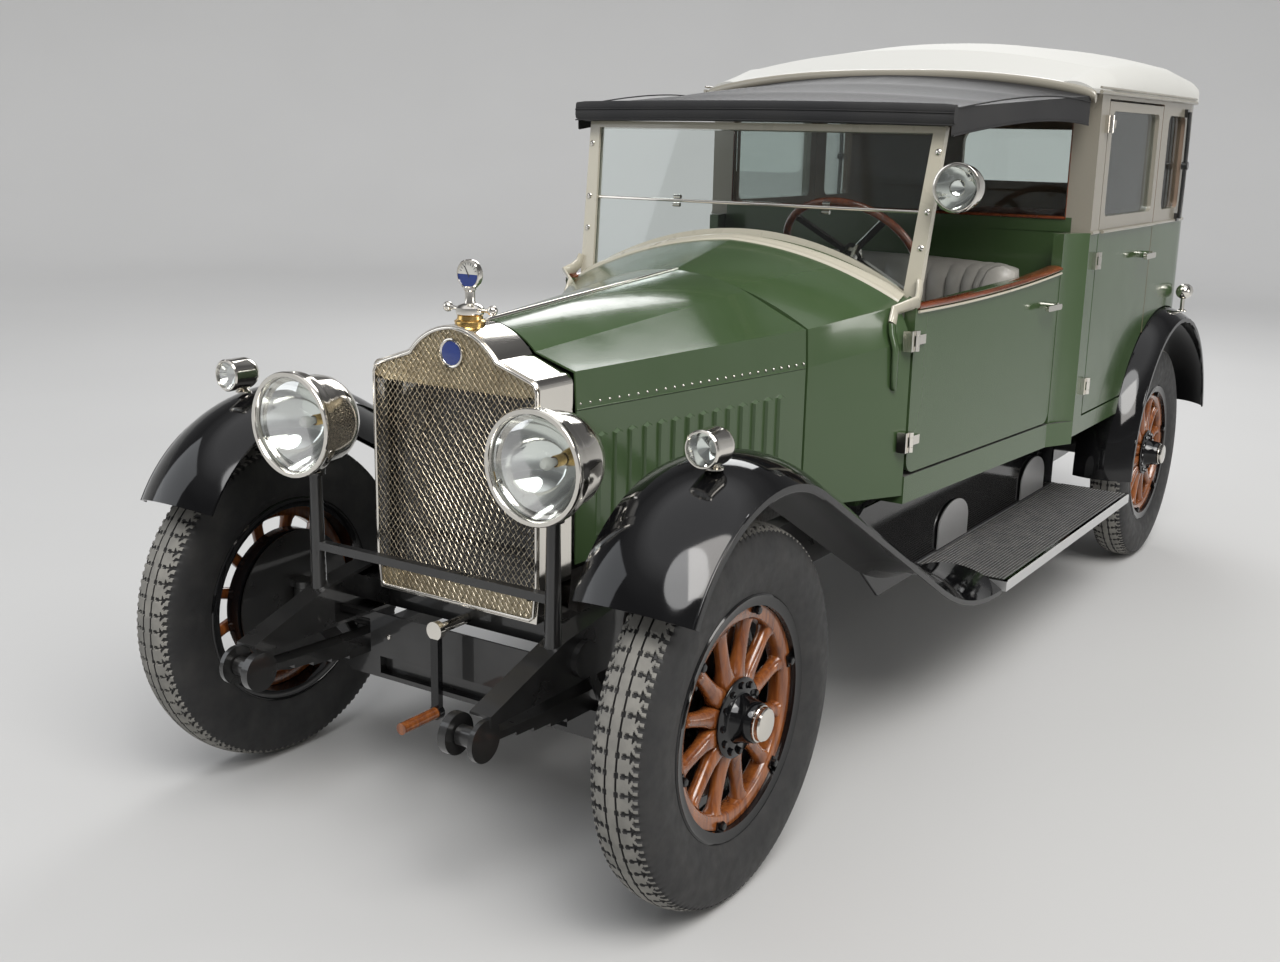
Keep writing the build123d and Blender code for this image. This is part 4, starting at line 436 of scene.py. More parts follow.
class Shape:
    """Collects points and faces for one mesh piece."""

    def __init__(self) -> None:
        """Start empty."""
        self.points: list[Vector] = []
        self.faces: list[tuple[int, ...]] = []

    def add(self, points: list[Vector], faces: list[tuple[int, ...]]) -> "Shape":
        """Add points and faces that index them.

        Args:
            points: The new points.
            faces: Faces by index into the new points.

        Returns:
            This shape.
        """
        base = len(self.points)
        self.points.extend(Vector(point) for point in points)
        self.faces.extend(tuple(base + index for index in face) for face in faces)
        return self

    def merge(self, other: "Shape", place: Matrix | None = None) -> "Shape":
        """Add another shape, moved by a matrix.

        Args:
            other: The shape to add.
            place: Where it goes, or None for as it is.

        Returns:
            This shape.
        """
        move = place or Matrix.Identity(4)
        return self.add([move @ point for point in other.points], other.faces)

    def box(self, low: Point, high: Point) -> "Shape":
        """Add a box between two corners.

        Args:
            low: Lowest corner.
            high: Highest corner.

        Returns:
            This shape.
        """
        corners = [Vector(corner) for corner in itertools.product(*zip(low, high))]
        quads = [(0, 1, 3, 2), (4, 6, 7, 5), (0, 4, 5, 1), (2, 3, 7, 6), (0, 2, 6, 4), (1, 5, 7, 3)]
        return self.add(corners, quads)

    def grid(
        self, rows: list[list[Vector]], round_rows: bool = False, round_columns: bool = False
    ) -> "Shape":
        """Add a grid of quads through rows of points.

        Args:
            rows: Rows of equal length.
            round_rows: Join the last row to the first.
            round_columns: Join each row's last point to its first.

        Returns:
            This shape.
        """
        count, width = len(rows), len(rows[0])
        faces = []
        for row in range(count if round_rows else count - 1):
            for column in range(width if round_columns else width - 1):
                here, below = row * width, (row + 1) % count * width
                beside = (column + 1) % width
                faces.append((here + column, here + beside, below + beside, below + column))
        return self.add([point for line in rows for point in line], faces)

    def tube(
        self, path: list[Point], radius: float, sides: int = 10, capped: bool = True,
        closed: bool = False,
    ) -> "Shape":
        """Add a round tube along a path.

        Args:
            path: Points on its middle line.
            radius: Its radius.
            sides: Sides round it.
            capped: Close its ends.
            closed: Join its last ring to its first.

        Returns:
            This shape.
        """
        points = [Vector(point) for point in path]
        rings, count = [], len(points)
        normal: Vector | None = None
        for index, point in enumerate(points):
            before = points[index - 1] if index or closed else point
            after = points[(index + 1) % count] if index < count - 1 or closed else point
            along = (after - before).normalized()
            if normal is None:
                normal = along.orthogonal().normalized()
            normal = (normal - along * normal.dot(along)).normalized()
            other = along.cross(normal)
            ring = []
            for side in range(sides):
                turn = 2 * math.pi * side / sides
                ring.append(point + (normal * math.cos(turn) + other * math.sin(turn)) * radius)
            rings.append(ring)
        self.grid(rings, round_rows=closed, round_columns=True)
        if capped and not closed:
            self.add(rings[0], [tuple(reversed(range(sides)))])
            self.add(rings[-1], [tuple(range(sides))])
        return self

    def lathe(self, profile: Profile, place: Matrix | None = None, sides: int = 32) -> "Shape":
        """Add a turned form: a profile of radius and height turned about the z axis.

        Args:
            profile: Radius and height pairs.
            place: Where its own frame goes.
            sides: Sides round it.

        Returns:
            This shape.
        """
        turns = [2 * math.pi * side / sides for side in range(sides)]
        rows = []
        for radius, height in profile:
            ring = [Vector((radius * math.cos(t), radius * math.sin(t), height)) for t in turns]
            rows.append(ring)
        return self.merge(Shape().grid(rows, round_columns=True), place)

    def bar(self, rings: list[list[Vector]]) -> "Shape":
        """Add a bar through rings of points, closed by a flat face at each end.

        Args:
            rings: Rings of equal length.

        Returns:
            This shape.
        """
        self.grid(rings, round_columns=True)
        for ring in (rings[0], rings[-1]):
            self.add(ring, [tuple(range(len(ring)))])
        return self

    def piece(
        self, name: str, finish: Finish, body: str = "car", smooth: float = 35.0,
        slot: str | None = None,
    ) -> bpy.types.Object:
        """Make the shape a piece of the car.

        Args:
            name: The piece's name.
            finish: Its finish.
            body: The body that it rides on.
            smooth: Edges flatter than this angle, in degrees, look smooth.
            slot: Not used.

        Returns:
            The new object.
        """
        mesh = bpy.data.meshes.new(name)
        mesh.from_pydata([tuple(point) for point in self.points], [], self.faces)
        mesh.validate()
        mesh.materials.append(finish.build())
        made = bpy.data.objects.new(name, mesh)
        bpy.context.scene.collection.objects.link(made)
        mesh.polygons.foreach_set("use_smooth", [True] * len(mesh.polygons))
        mesh.set_sharp_from_angle(angle=math.radians(smooth))
        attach(made, body)
        log.info("piece %s: %d faces", name, len(mesh.polygons))
        return made


def facing(origin: Point, direction: Point, up: Point = (0, 0, 1)) -> Matrix:
    """Return a frame at a point whose z axis runs along a direction.

    Args:
        origin: The frame's origin.
        direction: Direction of its z axis.
        up: Direction its y axis leans towards.

    Returns:
        The frame as a matrix.
    """
    z_axis = Vector(direction).normalized()
    x_axis = Vector(up).cross(z_axis)
    for other in ((1, 0, 0), (0, 1, 0)):
        if x_axis.length < PARALLEL:
            x_axis = Vector(other).cross(z_axis)
    x_axis.normalize()
    y_axis = z_axis.cross(x_axis)
    frame_matrix = Matrix((x_axis, y_axis, z_axis)).transposed().to_4x4()
    return Matrix.Translation(Vector(origin)) @ frame_matrix


def bent(value: float, power: float) -> float:
    """Return a value's size raised to a power, with the value's sign."""
    return math.copysign(abs(value) ** power, value)


def half_ball(radius: float) -> Profile:
    """Return the profile of the back half of a ball, from its pole to its widest place."""
    turns = [math.pi * step / BALL_STEPS for step in range(BALL_STEPS // 2 + 1)]
    return [(radius * math.sin(turn), -radius * math.cos(turn)) for turn in turns]


def simulate(
    made: bpy.types.Object, frames: int, gravity: float, **settings: bool | float | str
) -> np.ndarray:
    """Run a short cloth simulation on a piece and return where its points end up.

    Args:
        made: The piece.
        frames: Number of frames to run.
        gravity: Share of gravity that it feels.
        **settings: Cloth settings by name.

    Returns:
        Coordinates of the points, in one flat row.
    """
    cloth = made.modifiers.new("cloth", "CLOTH")
    cloth.settings.effector_weights.gravity = gravity
    for name, value in settings.items():
        setattr(cloth.settings, name, value)
    cloth.point_cache.frame_start, cloth.point_cache.frame_end = 1, frames
    for step in range(1, frames + 1):
        bpy.context.scene.frame_set(step)
    shown = made.evaluated_get(bpy.context.evaluated_depsgraph_get())
    moved = np.empty(len(made.data.vertices) * 3)
    shown.data.vertices.foreach_get("co", moved)
    made.modifiers.remove(cloth)
    bpy.context.scene.frame_set(1)
    return moved


@dataclass
class Wheel:
    """A wood wheel with its tyre, built round its own axle.

    Attributes:
        name: Place on the car, such as front_left.
        centre: Middle of the wheel.
        side: 1 on the car's left, -1 on its right.
        spokes: Number of spokes.
        segments: Steps round the tyre.
    """

    name: str
    centre: Point
    side: int
    spokes: int = 12
    segments: int = 792

    def place(self) -> Matrix:
        """Return the wheel's frame: z outwards along the axle."""
        return facing(self.centre, (self.side, 0, 0))

    def spoke(self, turn: float) -> Shape:
        """Return one spoke: square at the hub and the rim, round between.

        Args:
            turn: Its angle, in radians.

        Returns:
            The spoke in the wheel's frame.
        """
        stations = [
            # radius, width, thickness, squareness
            (0.050, 0.026, 0.040, 1.0),
            (0.087, 0.0455, 0.040, 1.0),
            (0.098, 0.0420, 0.038, 0.55),
            (0.118, 0.0360, 0.0345, 0.1),
            (0.150, 0.0325, 0.0325, 0.0),
            (0.185, 0.0310, 0.0315, 0.0),
            (0.202, 0.0330, 0.0330, 0.2),
            (0.2125, 0.0390, 0.0390, 0.6),
        ]
        rows = []
        for radius, width, thickness, square in stations:
            power = 1.0 - 0.62 * square
            row = []
            for step in range(16):
                angle = 2 * math.pi * step / 16
                across = bent(math.cos(angle), power) * width / 2
                deep = bent(math.sin(angle), power) * thickness / 2
                row.append(Vector((radius, across, 0.018 + deep)))
            rows.append(row)
        turned = Matrix.Rotation(turn, 4, "Z")
        return Shape().merge(Shape().grid(rows, round_columns=True), turned)

    def grooved(self, across: float, turns: np.ndarray) -> np.ndarray:
        """Say which steps round the tyre lie in a groove of the tread.

        Args:
            across: Distance from the middle of the tread.
            turns: Angles round the tyre.

        Returns:
            True where there is a groove.
        """
        share = (turns * TREAD_PITCHES / (2 * math.pi)) % 1.0
        away = np.abs(share - 0.5)
        if abs(across - 0.0125) < 0.0015:
            return np.ones_like(away, dtype=bool)
        if across < 0.0185:
            return (away < 0.10) & (0.0100 < across < 0.0150)
        if across < 0.0218:
            return np.zeros_like(away, dtype=bool)
        if across < 0.0318:
            return away < 0.15 * math.sqrt(max(0.0, 1 - ((across - 0.0268) / 0.0052) ** 2))
        if across < 0.0382:
            return away < 0.05
        if across < 0.0470:
            narrow = 0.26 * (0.0485 - across) / 0.010
            wide = 0.20 * max(0.0, across - 0.0435) / 0.004
            return (away < narrow) | (away > 0.50 - wide)
        return (share * 2) % 1.0 < 0.42

    def tyre(self, turned: Matrix, name: str, body: str, node: str) -> bpy.types.Object:
        """Make the tyre with its middle ribs, slots and ribbed shoulders.

        Args:
            turned: The wheel's frame.
            name: Name of the piece.
            body: Body that it rides on.
            node: CAD node that it stands for.

        Returns:
            The tyre.
        """
        half, segments = TYRE_WIDTH / 2 - 0.0004, self.segments
        side = [
            (0.046, 0.259), (0.0555, 0.274), (0.0635, 0.298), (half - 0.0007, 0.325), (half, 0.343),
            (half - 0.0012, 0.362), (0.0645, 0.380), (0.0610, 0.392), (0.0575, 0.3995),
        ]
        stations = [
            0.004, 0.008, 0.0102, 0.0112, 0.0138, 0.0148, 0.018, 0.0212, 0.0222, 0.0245, 0.027,
            0.0295, 0.0312, 0.0322, 0.0355, 0.0378, 0.0388, 0.0405, 0.0425, 0.0445, 0.0462, 0.0475,
            0.0495, 0.0515, 0.0535, TREAD_HALF,
        ]
        rows = [(-across, radius, 0) for across, radius in side]
        for across in [*(-x for x in reversed(stations)), 0.0, *stations]:
            radius = TREAD_RADIUS - TREAD_CROWN * (abs(across) / TREAD_HALF) ** 2.2
            rows.append((across, radius, 1))
        rows += [(across, radius, 0) for across, radius in reversed(side)]
        turns = np.arange(segments) * 2 * math.pi / segments
        points, land = [], []
        for across, radius, tread in rows:
            groove = self.grooved(abs(across), turns)
            reach = radius - np.where(groove, GROOVE_DEPTH, 0.0) * tread
            level = np.full_like(turns, across)
            points.append(np.stack([reach * np.cos(turns), reach * np.sin(turns), level], 1))
            land.append(~groove if tread else np.zeros_like(groove))
        shape, marks = Shape(), []
        shape.points = [turned @ Vector(point) for point in np.concatenate(points)]
        for row in range(len(rows) - 1):
            low, high = row * segments, (row + 1) * segments
            for step in range(segments):
                after = (step + 1) % segments
                shape.faces.append((low + step, low + after, high + after, high + step))
                marks.append(int(land[row][step] and land[row + 1][step]))
        made = shape.piece(name, Look.TYRE, body, 28, "tyre")
        made.data.materials.append(Look.TREAD.build())
        made.data.polygons.foreach_set("material_index", marks)
        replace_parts(made, node)
        return made

    def rim(self, turned: Matrix, name: str, body: str) -> bpy.types.Object:
        """Make the black steel rim.

        Args:
            turned: The wheel's frame.
            name: Name of the piece.
            body: Body that it rides on.

        Returns:
            The rim.
        """
        outline = [
            (0.2445, -0.055), (0.2445, 0.055), (0.262, 0.0565), (0.2665, 0.0590), (0.2705, 0.0565),
            (0.2715, 0.0520), (0.266, 0.0500), (0.258, 0.0455), (0.258, -0.0455), (0.266, -0.0500),
            (0.2715, -0.0520), (0.2705, -0.0565), (0.2665, -0.0590), (0.262, -0.0565),
            (0.2445, -0.055),
        ]
        shape = Shape().lathe([(radius, across * 0.96) for radius, across in outline], turned, 72)
        return shape.piece(name, Look.BLACK, body, 40)

    def dress(self) -> None:
        """Make every piece of the wheel."""
        turned, body = self.place(), f"wheel_{self.name}"
        self.tyre(turned, f"dressed_tyre_{self.name}", body, f"tyre_{self.name}")
        self.rim(turned, f"rim_{self.name}", body)
        self.wood(turned, body)
        self.hub(turned, body)
        self.clips(turned, body)

    def wood(self, turned: Matrix, body: str) -> None:
        """Make the spokes and the felloe.

        Args:
            turned: The wheel's frame.
            body: Body that it rides on.
        """
        wood = Shape()
        for index in range(self.spokes):
            wood.merge(self.spoke(2 * math.pi * (index + 0.5) / self.spokes), turned)
        felloe = [
            (0.2435, -0.004), (0.2435, 0.040), (0.240, 0.0402), (0.217, 0.0392), (0.212, 0.034),
            (0.212, 0.002), (0.217, -0.0032), (0.2435, -0.004),
        ]
        wood.lathe(felloe, turned, 72)
        spokes = wood.piece(f"spokes_{self.name}", Look.SPOKE, body, 50, "wood")
        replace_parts(spokes, f"wheel_{self.name}")

    def hub(self, turned: Matrix, body: str) -> None:
        """Make the hub with its flanges, nuts and brake drum, and the bright cap.

        Args:
            turned: The wheel's frame.
            body: Body that it rides on.
        """
        barrel = [
            (0.0, 0.0385), (0.070, 0.0385), (0.085, 0.0392), (0.088, 0.041), (0.088, 0.0440),
            (0.084, 0.0462), (0.060, 0.0475), (0.055, 0.050), (0.050, 0.060), (0.0465, 0.078),
            (0.0440, 0.092), (0.0425, 0.094), (0.0385, 0.094), (0.0, 0.094),
        ]
        back = [(0.046, -0.0025), (0.088, -0.0025), (0.088, -0.0085), (0.046, -0.0085)]
        drum = [
            (0.047, -0.0165), (0.176, -0.0165), (0.186, -0.0145), (0.1862, -0.012),
            (0.1862, -0.052), (0.180, -0.0525),
        ]
        hub = Shape()
        for profile, sides in ((barrel, 48), (back, 48), (drum, 64)):
            hub.lathe(profile, turned, sides)
        nut = [(0.0, 0.0075), (0.0062, 0.0072), (0.0078, 0.0052), (0.0080, 0.0), (0.0, 0.0)]
        for index in range(self.spokes):
            turn = 2 * math.pi * index / self.spokes
            spot = (0.074 * math.cos(turn), 0.074 * math.sin(turn), 0.046)
            hub.lathe(nut, turned @ Matrix.Translation(spot), 6)
        hub.piece(f"hub_{self.name}", Look.BLACK, body, 35)
        cap = [
            (0.0385, 0.0935), (0.0400, 0.095), (0.0400, 0.0985), (0.0375, 0.100), (0.0370, 0.108),
            (0.0345, 0.1110), (0.022, 0.1118), (0.0205, 0.1122), (0.0, 0.1122),
        ]
        Shape().lathe(cap, turned, 40).piece(f"hub_cap_{self.name}", Look.NICKEL, body, 35)

    def clips(self, turned: Matrix, body: str) -> None:
        """Make the clips and studs that hold the rim.

        Args:
            turned: The wheel's frame.
            body: Body that it rides on.
        """
        clips = Shape()
        stud = [(0.0095, 0.0), (0.0095, 0.007), (0.008, 0.009), (0.0, 0.0095)]
        for index in range(6):
            clip = turned @ Matrix.Rotation(2 * math.pi * (index + 0.25) / 6, 4, "Z")
            clips.merge(Shape().box((0.226, -0.014, 0.0400), (0.2590, 0.014, 0.0450)), clip)
            clips.lathe(stud, clip @ Matrix.Translation((0.2330, 0.0, 0.0450)), 6)
        clips.piece(f"rim_clips_{self.name}", Look.BLACK, body, 30)


@dataclass
class Radiator:
    """What goes on the radiator shell: plates and fins, badge, winged cap and thermometer.

    Attributes:
        front: Position of the shell's front along the car.
        top: Height of its crown.
        half: Half its width.
        neck_back: Distance from its front to the middle of the filler neck.
    """

    front: float = -1.925
    top: float = 1.200
    half: float = 0.243
    neck_back: float = 0.060

    def crown(self, inset: float, steps: int = 24) -> list[tuple[float, float]]:
        """Return points of the shell's top edge, from right to left.

        Args:
            inset: How far it is drawn in.
            steps: Number of points on the crown.

        Returns:
            Pairs of x and height.
        """
        half, top = self.half - inset, self.top - inset
        corner = Vector((half - 0.026, 1.104 - inset))
        neck, peak = Vector((half - 0.112, 1.134 - inset)), Vector((0.0, top))
        mid = Vector(((half - 0.112) * 0.55, top - 0.018))
        first, second = neck - mid, mid - peak
        lead = (neck.length_squared - mid.length_squared) / 2
        lag = (mid.length_squared - peak.length_squared) / 2
        spread = first.x * second.y - first.y * second.x
        centre_x = (lead * second.y - lag * first.y) / spread
        centre_z = (first.x * lag - second.x * lead) / spread
        radius = math.hypot(peak.x - centre_x, peak.y - centre_z)
        begin = math.atan2(neck.y - centre_z, neck.x - centre_x)
        stop = math.atan2(peak.y - centre_z, peak.x - centre_x)
        right = [(half, corner.y - 0.024), (half - 0.007, corner.y - 0.0075), (corner.x, corner.y)]
        for step in range(steps + 1):
            angle = begin + (stop - begin) * step / steps
            right.append((centre_x + radius * math.cos(angle), centre_z + radius * math.sin(angle)))
        return [(-x, z) for x, z in right] + [*reversed(right[:-1])]

    def header(self) -> Shape:
        """Return the bright plate across the top of the opening."""
        y, low = self.front - 0.0014, 1.058
        edge = self.crown(0.0100)
        count = len(edge)
        points = [*(Vector((x, y, z)) for x, z in edge), *(Vector((x, y, low)) for x, _ in edge)]
        return Shape().add(points, [(i, i + 1, count + i + 1, count + i) for i in range(count - 1)])

    def dress(self) -> None:
        """Make every piece on the radiator."""
        self.grille()
        self.badge()
        self.cap()
        self.thermometer()

    def grille(self) -> None:
        """Make the plates round the core and the core's fins."""
        self.header().piece("header_plate", Look.BRONZE)
        y = self.front - 0.0014
        strip = Shape().box((-0.229, y, 0.560), (0.229, y + 0.001, 0.603))
        strip.piece("lower_strip", Look.BRONZE)
        surround = Shape()
        for side in (-1, 1):
            x0, x1 = sorted((side * 0.208, side * 0.2345))
            surround.box((x0, y, 0.600), (x1, y + 0.0012, 1.062))
        surround.piece("core_surround", Look.CORE)
        fins = Shape()
        for index in range(44):
            z = 0.634 + index * 0.0096
            fins.box((-0.209, self.front + 0.0285, z), (0.209, self.front + 0.0335, z + 0.0012))
        for index in range(19):
            x, y = -0.2025 + index * 0.0225, self.front + 0.031
            fins.box((x - 0.0035, y, 0.63), (x + 0.0035, self.front + 0.0345, 1.056))
        fins.piece("core_fins", Look.CORE)
    def badge(self) -> None:
        """Make the plain enamel badge and its ring."""
        place = facing((0, self.front - 0.0060, 1.138), (0, -1, 0))
        ring = [(0.0265, 0.0), (0.0285, 0.0026), (0.0308, 0.0036), (0.0330, 0.0024), (0.0335, 0.0)]
        Shape().lathe(ring, place, 48).piece("badge_ring", Look.NICKEL)
        back = [(0.0, -0.0044), (0.031, -0.0044), (0.031, 0.0)]
        Shape().lathe(back, place, 40).piece("badge_back", Look.NICKEL)
        disc = [(0.0, 0.0029), (0.016, 0.0026), (0.0268, 0.0012), (0.0268, 0.0)]
        Shape().lathe(disc, place, 48).piece("badge_enamel", Look.ENAMEL)

    def cap(self) -> None:
        """Make the filler neck and the winged cap."""
        middle_y = self.front + self.neck_back
        neck = Matrix.Translation((0, middle_y, self.top))
        collar = [
            (0.034, -0.004), (0.036, 0.004), (0.030, 0.008), (0.0285, 0.016), (0.031, 0.0195),
            (0.0, 0.0195),
        ]
        Shape().lathe(collar, neck, 40).piece("filler_neck", Look.BRASS)
        wings = Shape()
        turns = [math.pi * step / 12 for step in range(13)]
        ball = [(0.0118 * math.sin(turn), -0.0118 * math.cos(turn)) for turn in turns]
        for side in (-1, 1):
            arm = []
            for step in range(9):
                share = step / 8
                width = 0.0075 - 0.0022 * math.sin(math.pi * share)
                x, z = side * (0.024 + 0.034 * share), self.top + 0.029 + 0.0016 * share
                centre = Vector((x, middle_y, z))
                row = []
                for turn in range(12):
                    a = 2 * math.pi * turn / 12
                    row.append(centre + Vector((0, math.cos(a) * width, math.sin(a) * width * 0.8)))
                arm.append(row)
            wings.grid(arm, round_columns=True)
            wings.lathe(ball, Matrix.Translation((side * 0.0645, middle_y, self.top + 0.031)), 24)
        dome = [
            (0.0315, 0.0195), (0.0325, 0.024), (0.0315, 0.034), (0.026, 0.0395), (0.0135, 0.0435),
            (0.0115, 0.050), (0.0115, 0.070), (0.014, 0.073), (0.014, 0.079), (0.010, 0.082),
            (0.0, 0.082),
        ]
        wings.lathe(dome, neck, 40)
        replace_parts(wings.piece("winged_cap", Look.NICKEL), "radiator_cap")

    def thermometer(self) -> None:
        """Make the thermometer on the cap, with its two-coloured dial and its marks."""
        dial = facing((0, self.front + self.neck_back, self.top + 0.108), (0, -1, 0))
        case = [
            (0.0, -0.0085), (0.028, -0.0085), (0.033, -0.006), (0.034, 0.0), (0.033, 0.0065),
            (0.0305, 0.0085), (0.0290, 0.0085), (0.0285, 0.0055),
        ]
        Shape().lathe(case, dial, 48).piece("thermometer_case", Look.NICKEL)
        for name, finish, start in (
            ("dial_upper", Look.DIAL, 0.0), ("dial_lower", Look.ENAMEL, math.pi)
        ):
            turns = np.linspace(start, start + math.pi, 25)
            points = [Vector((0.0287 * math.cos(a), 0.0287 * math.sin(a), 0.0056)) for a in turns]
            Shape().merge(Shape().add(points, [tuple(range(25))]), dial).piece(name, finish)
        marks = Shape()
        for index in range(9):
            spot = Matrix.Rotation(math.radians(20 + index * 17.5), 4, "Z")
            marks.merge(Shape().box((0.020, -0.0005, 0.0057), (0.026, 0.0005, 0.0061)), dial @ spot)
        needle = Shape().box((-0.001, -0.006, 0.0058), (0.001, 0.021, 0.0066))
        marks.merge(needle, dial @ Matrix.Rotation(0.5, 4, "Z"))
        marks.piece("dial_marks", Look.CORE)


@dataclass
class StoneGuard:
    """The woven wire guard over the whole front of the radiator.

    Attributes:
        front: Position of its middle plane along the car.
        pitch: Distance between neighbouring wires.
        lean: Lean of the wires from level, in degrees.
        wire: Radius of a wire.
        weave: How far a wire swings from the middle plane, over and under the others.
        edge: Half of the outline that it fills, worked out at first use.
    """

    front: float = -1.9282
    pitch: float = 0.0118
    lean: float = 52.0
    wire: float = 0.00085
    weave: float = 0.0011
    edge: list[tuple[float, float]] = field(default_factory=list)

    def inside(self, x: float, z: float) -> bool:
        """Say whether a point lies in the guard's outline.

        Args:
            x: Position across the car.
            z: Height.

        Returns:
            True if it does.
        """
        if not self.edge:
            self.edge = sorted((px, pz) for px, pz in Radiator().crown(0.0080) if px >= 0)
        xs, zs = zip(*self.edge)
        foot = xs[-1] - 0.010 * max(0.0, (0.620 - z) / 0.060)
        return abs(x) < foot and 0.5585 < z < float(np.interp(abs(x), xs, zs))

    def dress(self) -> None:
        """Make the wires, woven over and under each other, and the edge frame."""
        wires = Shape()
        middle = Vector((0.0, 0.0, 0.87))
        reach, step = 0.56, self.pitch / 3
        lean = math.radians(self.lean)
        crossing = self.pitch / math.sin(2 * lean)
        for layer, turn in enumerate((lean, -lean)):
            along = Vector((math.cos(turn), 0, math.sin(turn)))
            across = Vector((-math.sin(turn), 0, math.cos(turn)))
            rows = int(reach / self.pitch)
            for row in range(-rows, rows + 1):
                run: list[Point] = []
                run: list[Point] = []
                for index in range(int(-reach / step), int(reach / step) + 1):
                    distance = index * step
                    point = middle + across * (row * self.pitch) + along * distance
                    if self.inside(point.x, point.z):
                        turns = distance / crossing + row * math.cos(2 * lean)
                        wave = math.sin(math.pi * turns + math.pi * layer)
                        y = self.front + self.weave * wave * (1 if row % 2 else -1)
                        run.append((point.x, y, point.z))
                        continue
                    if len(run) > 1:
                        wires.tube(run, self.wire, 4, capped=False)
                    run = []
                if len(run) > 1:
                    wires.tube(run, self.wire, 4, capped=False)
        made = wires.piece("woven_guard", Look.WOVEN, smooth=80)
        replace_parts(made, "stone_guard")
        foot = [(0.2365, 0.640), (0.2285, 0.566), (0.2180, 0.5560)]
        outline = [*Radiator().crown(0.0065), *foot, *((-x, z) for x, z in reversed(foot))]
        rim = Shape().tube([(x, self.front, z) for x, z in outline], 0.0045, 10, closed=True)
        rim.piece("guard_edge", Look.NICKEL, smooth=60)


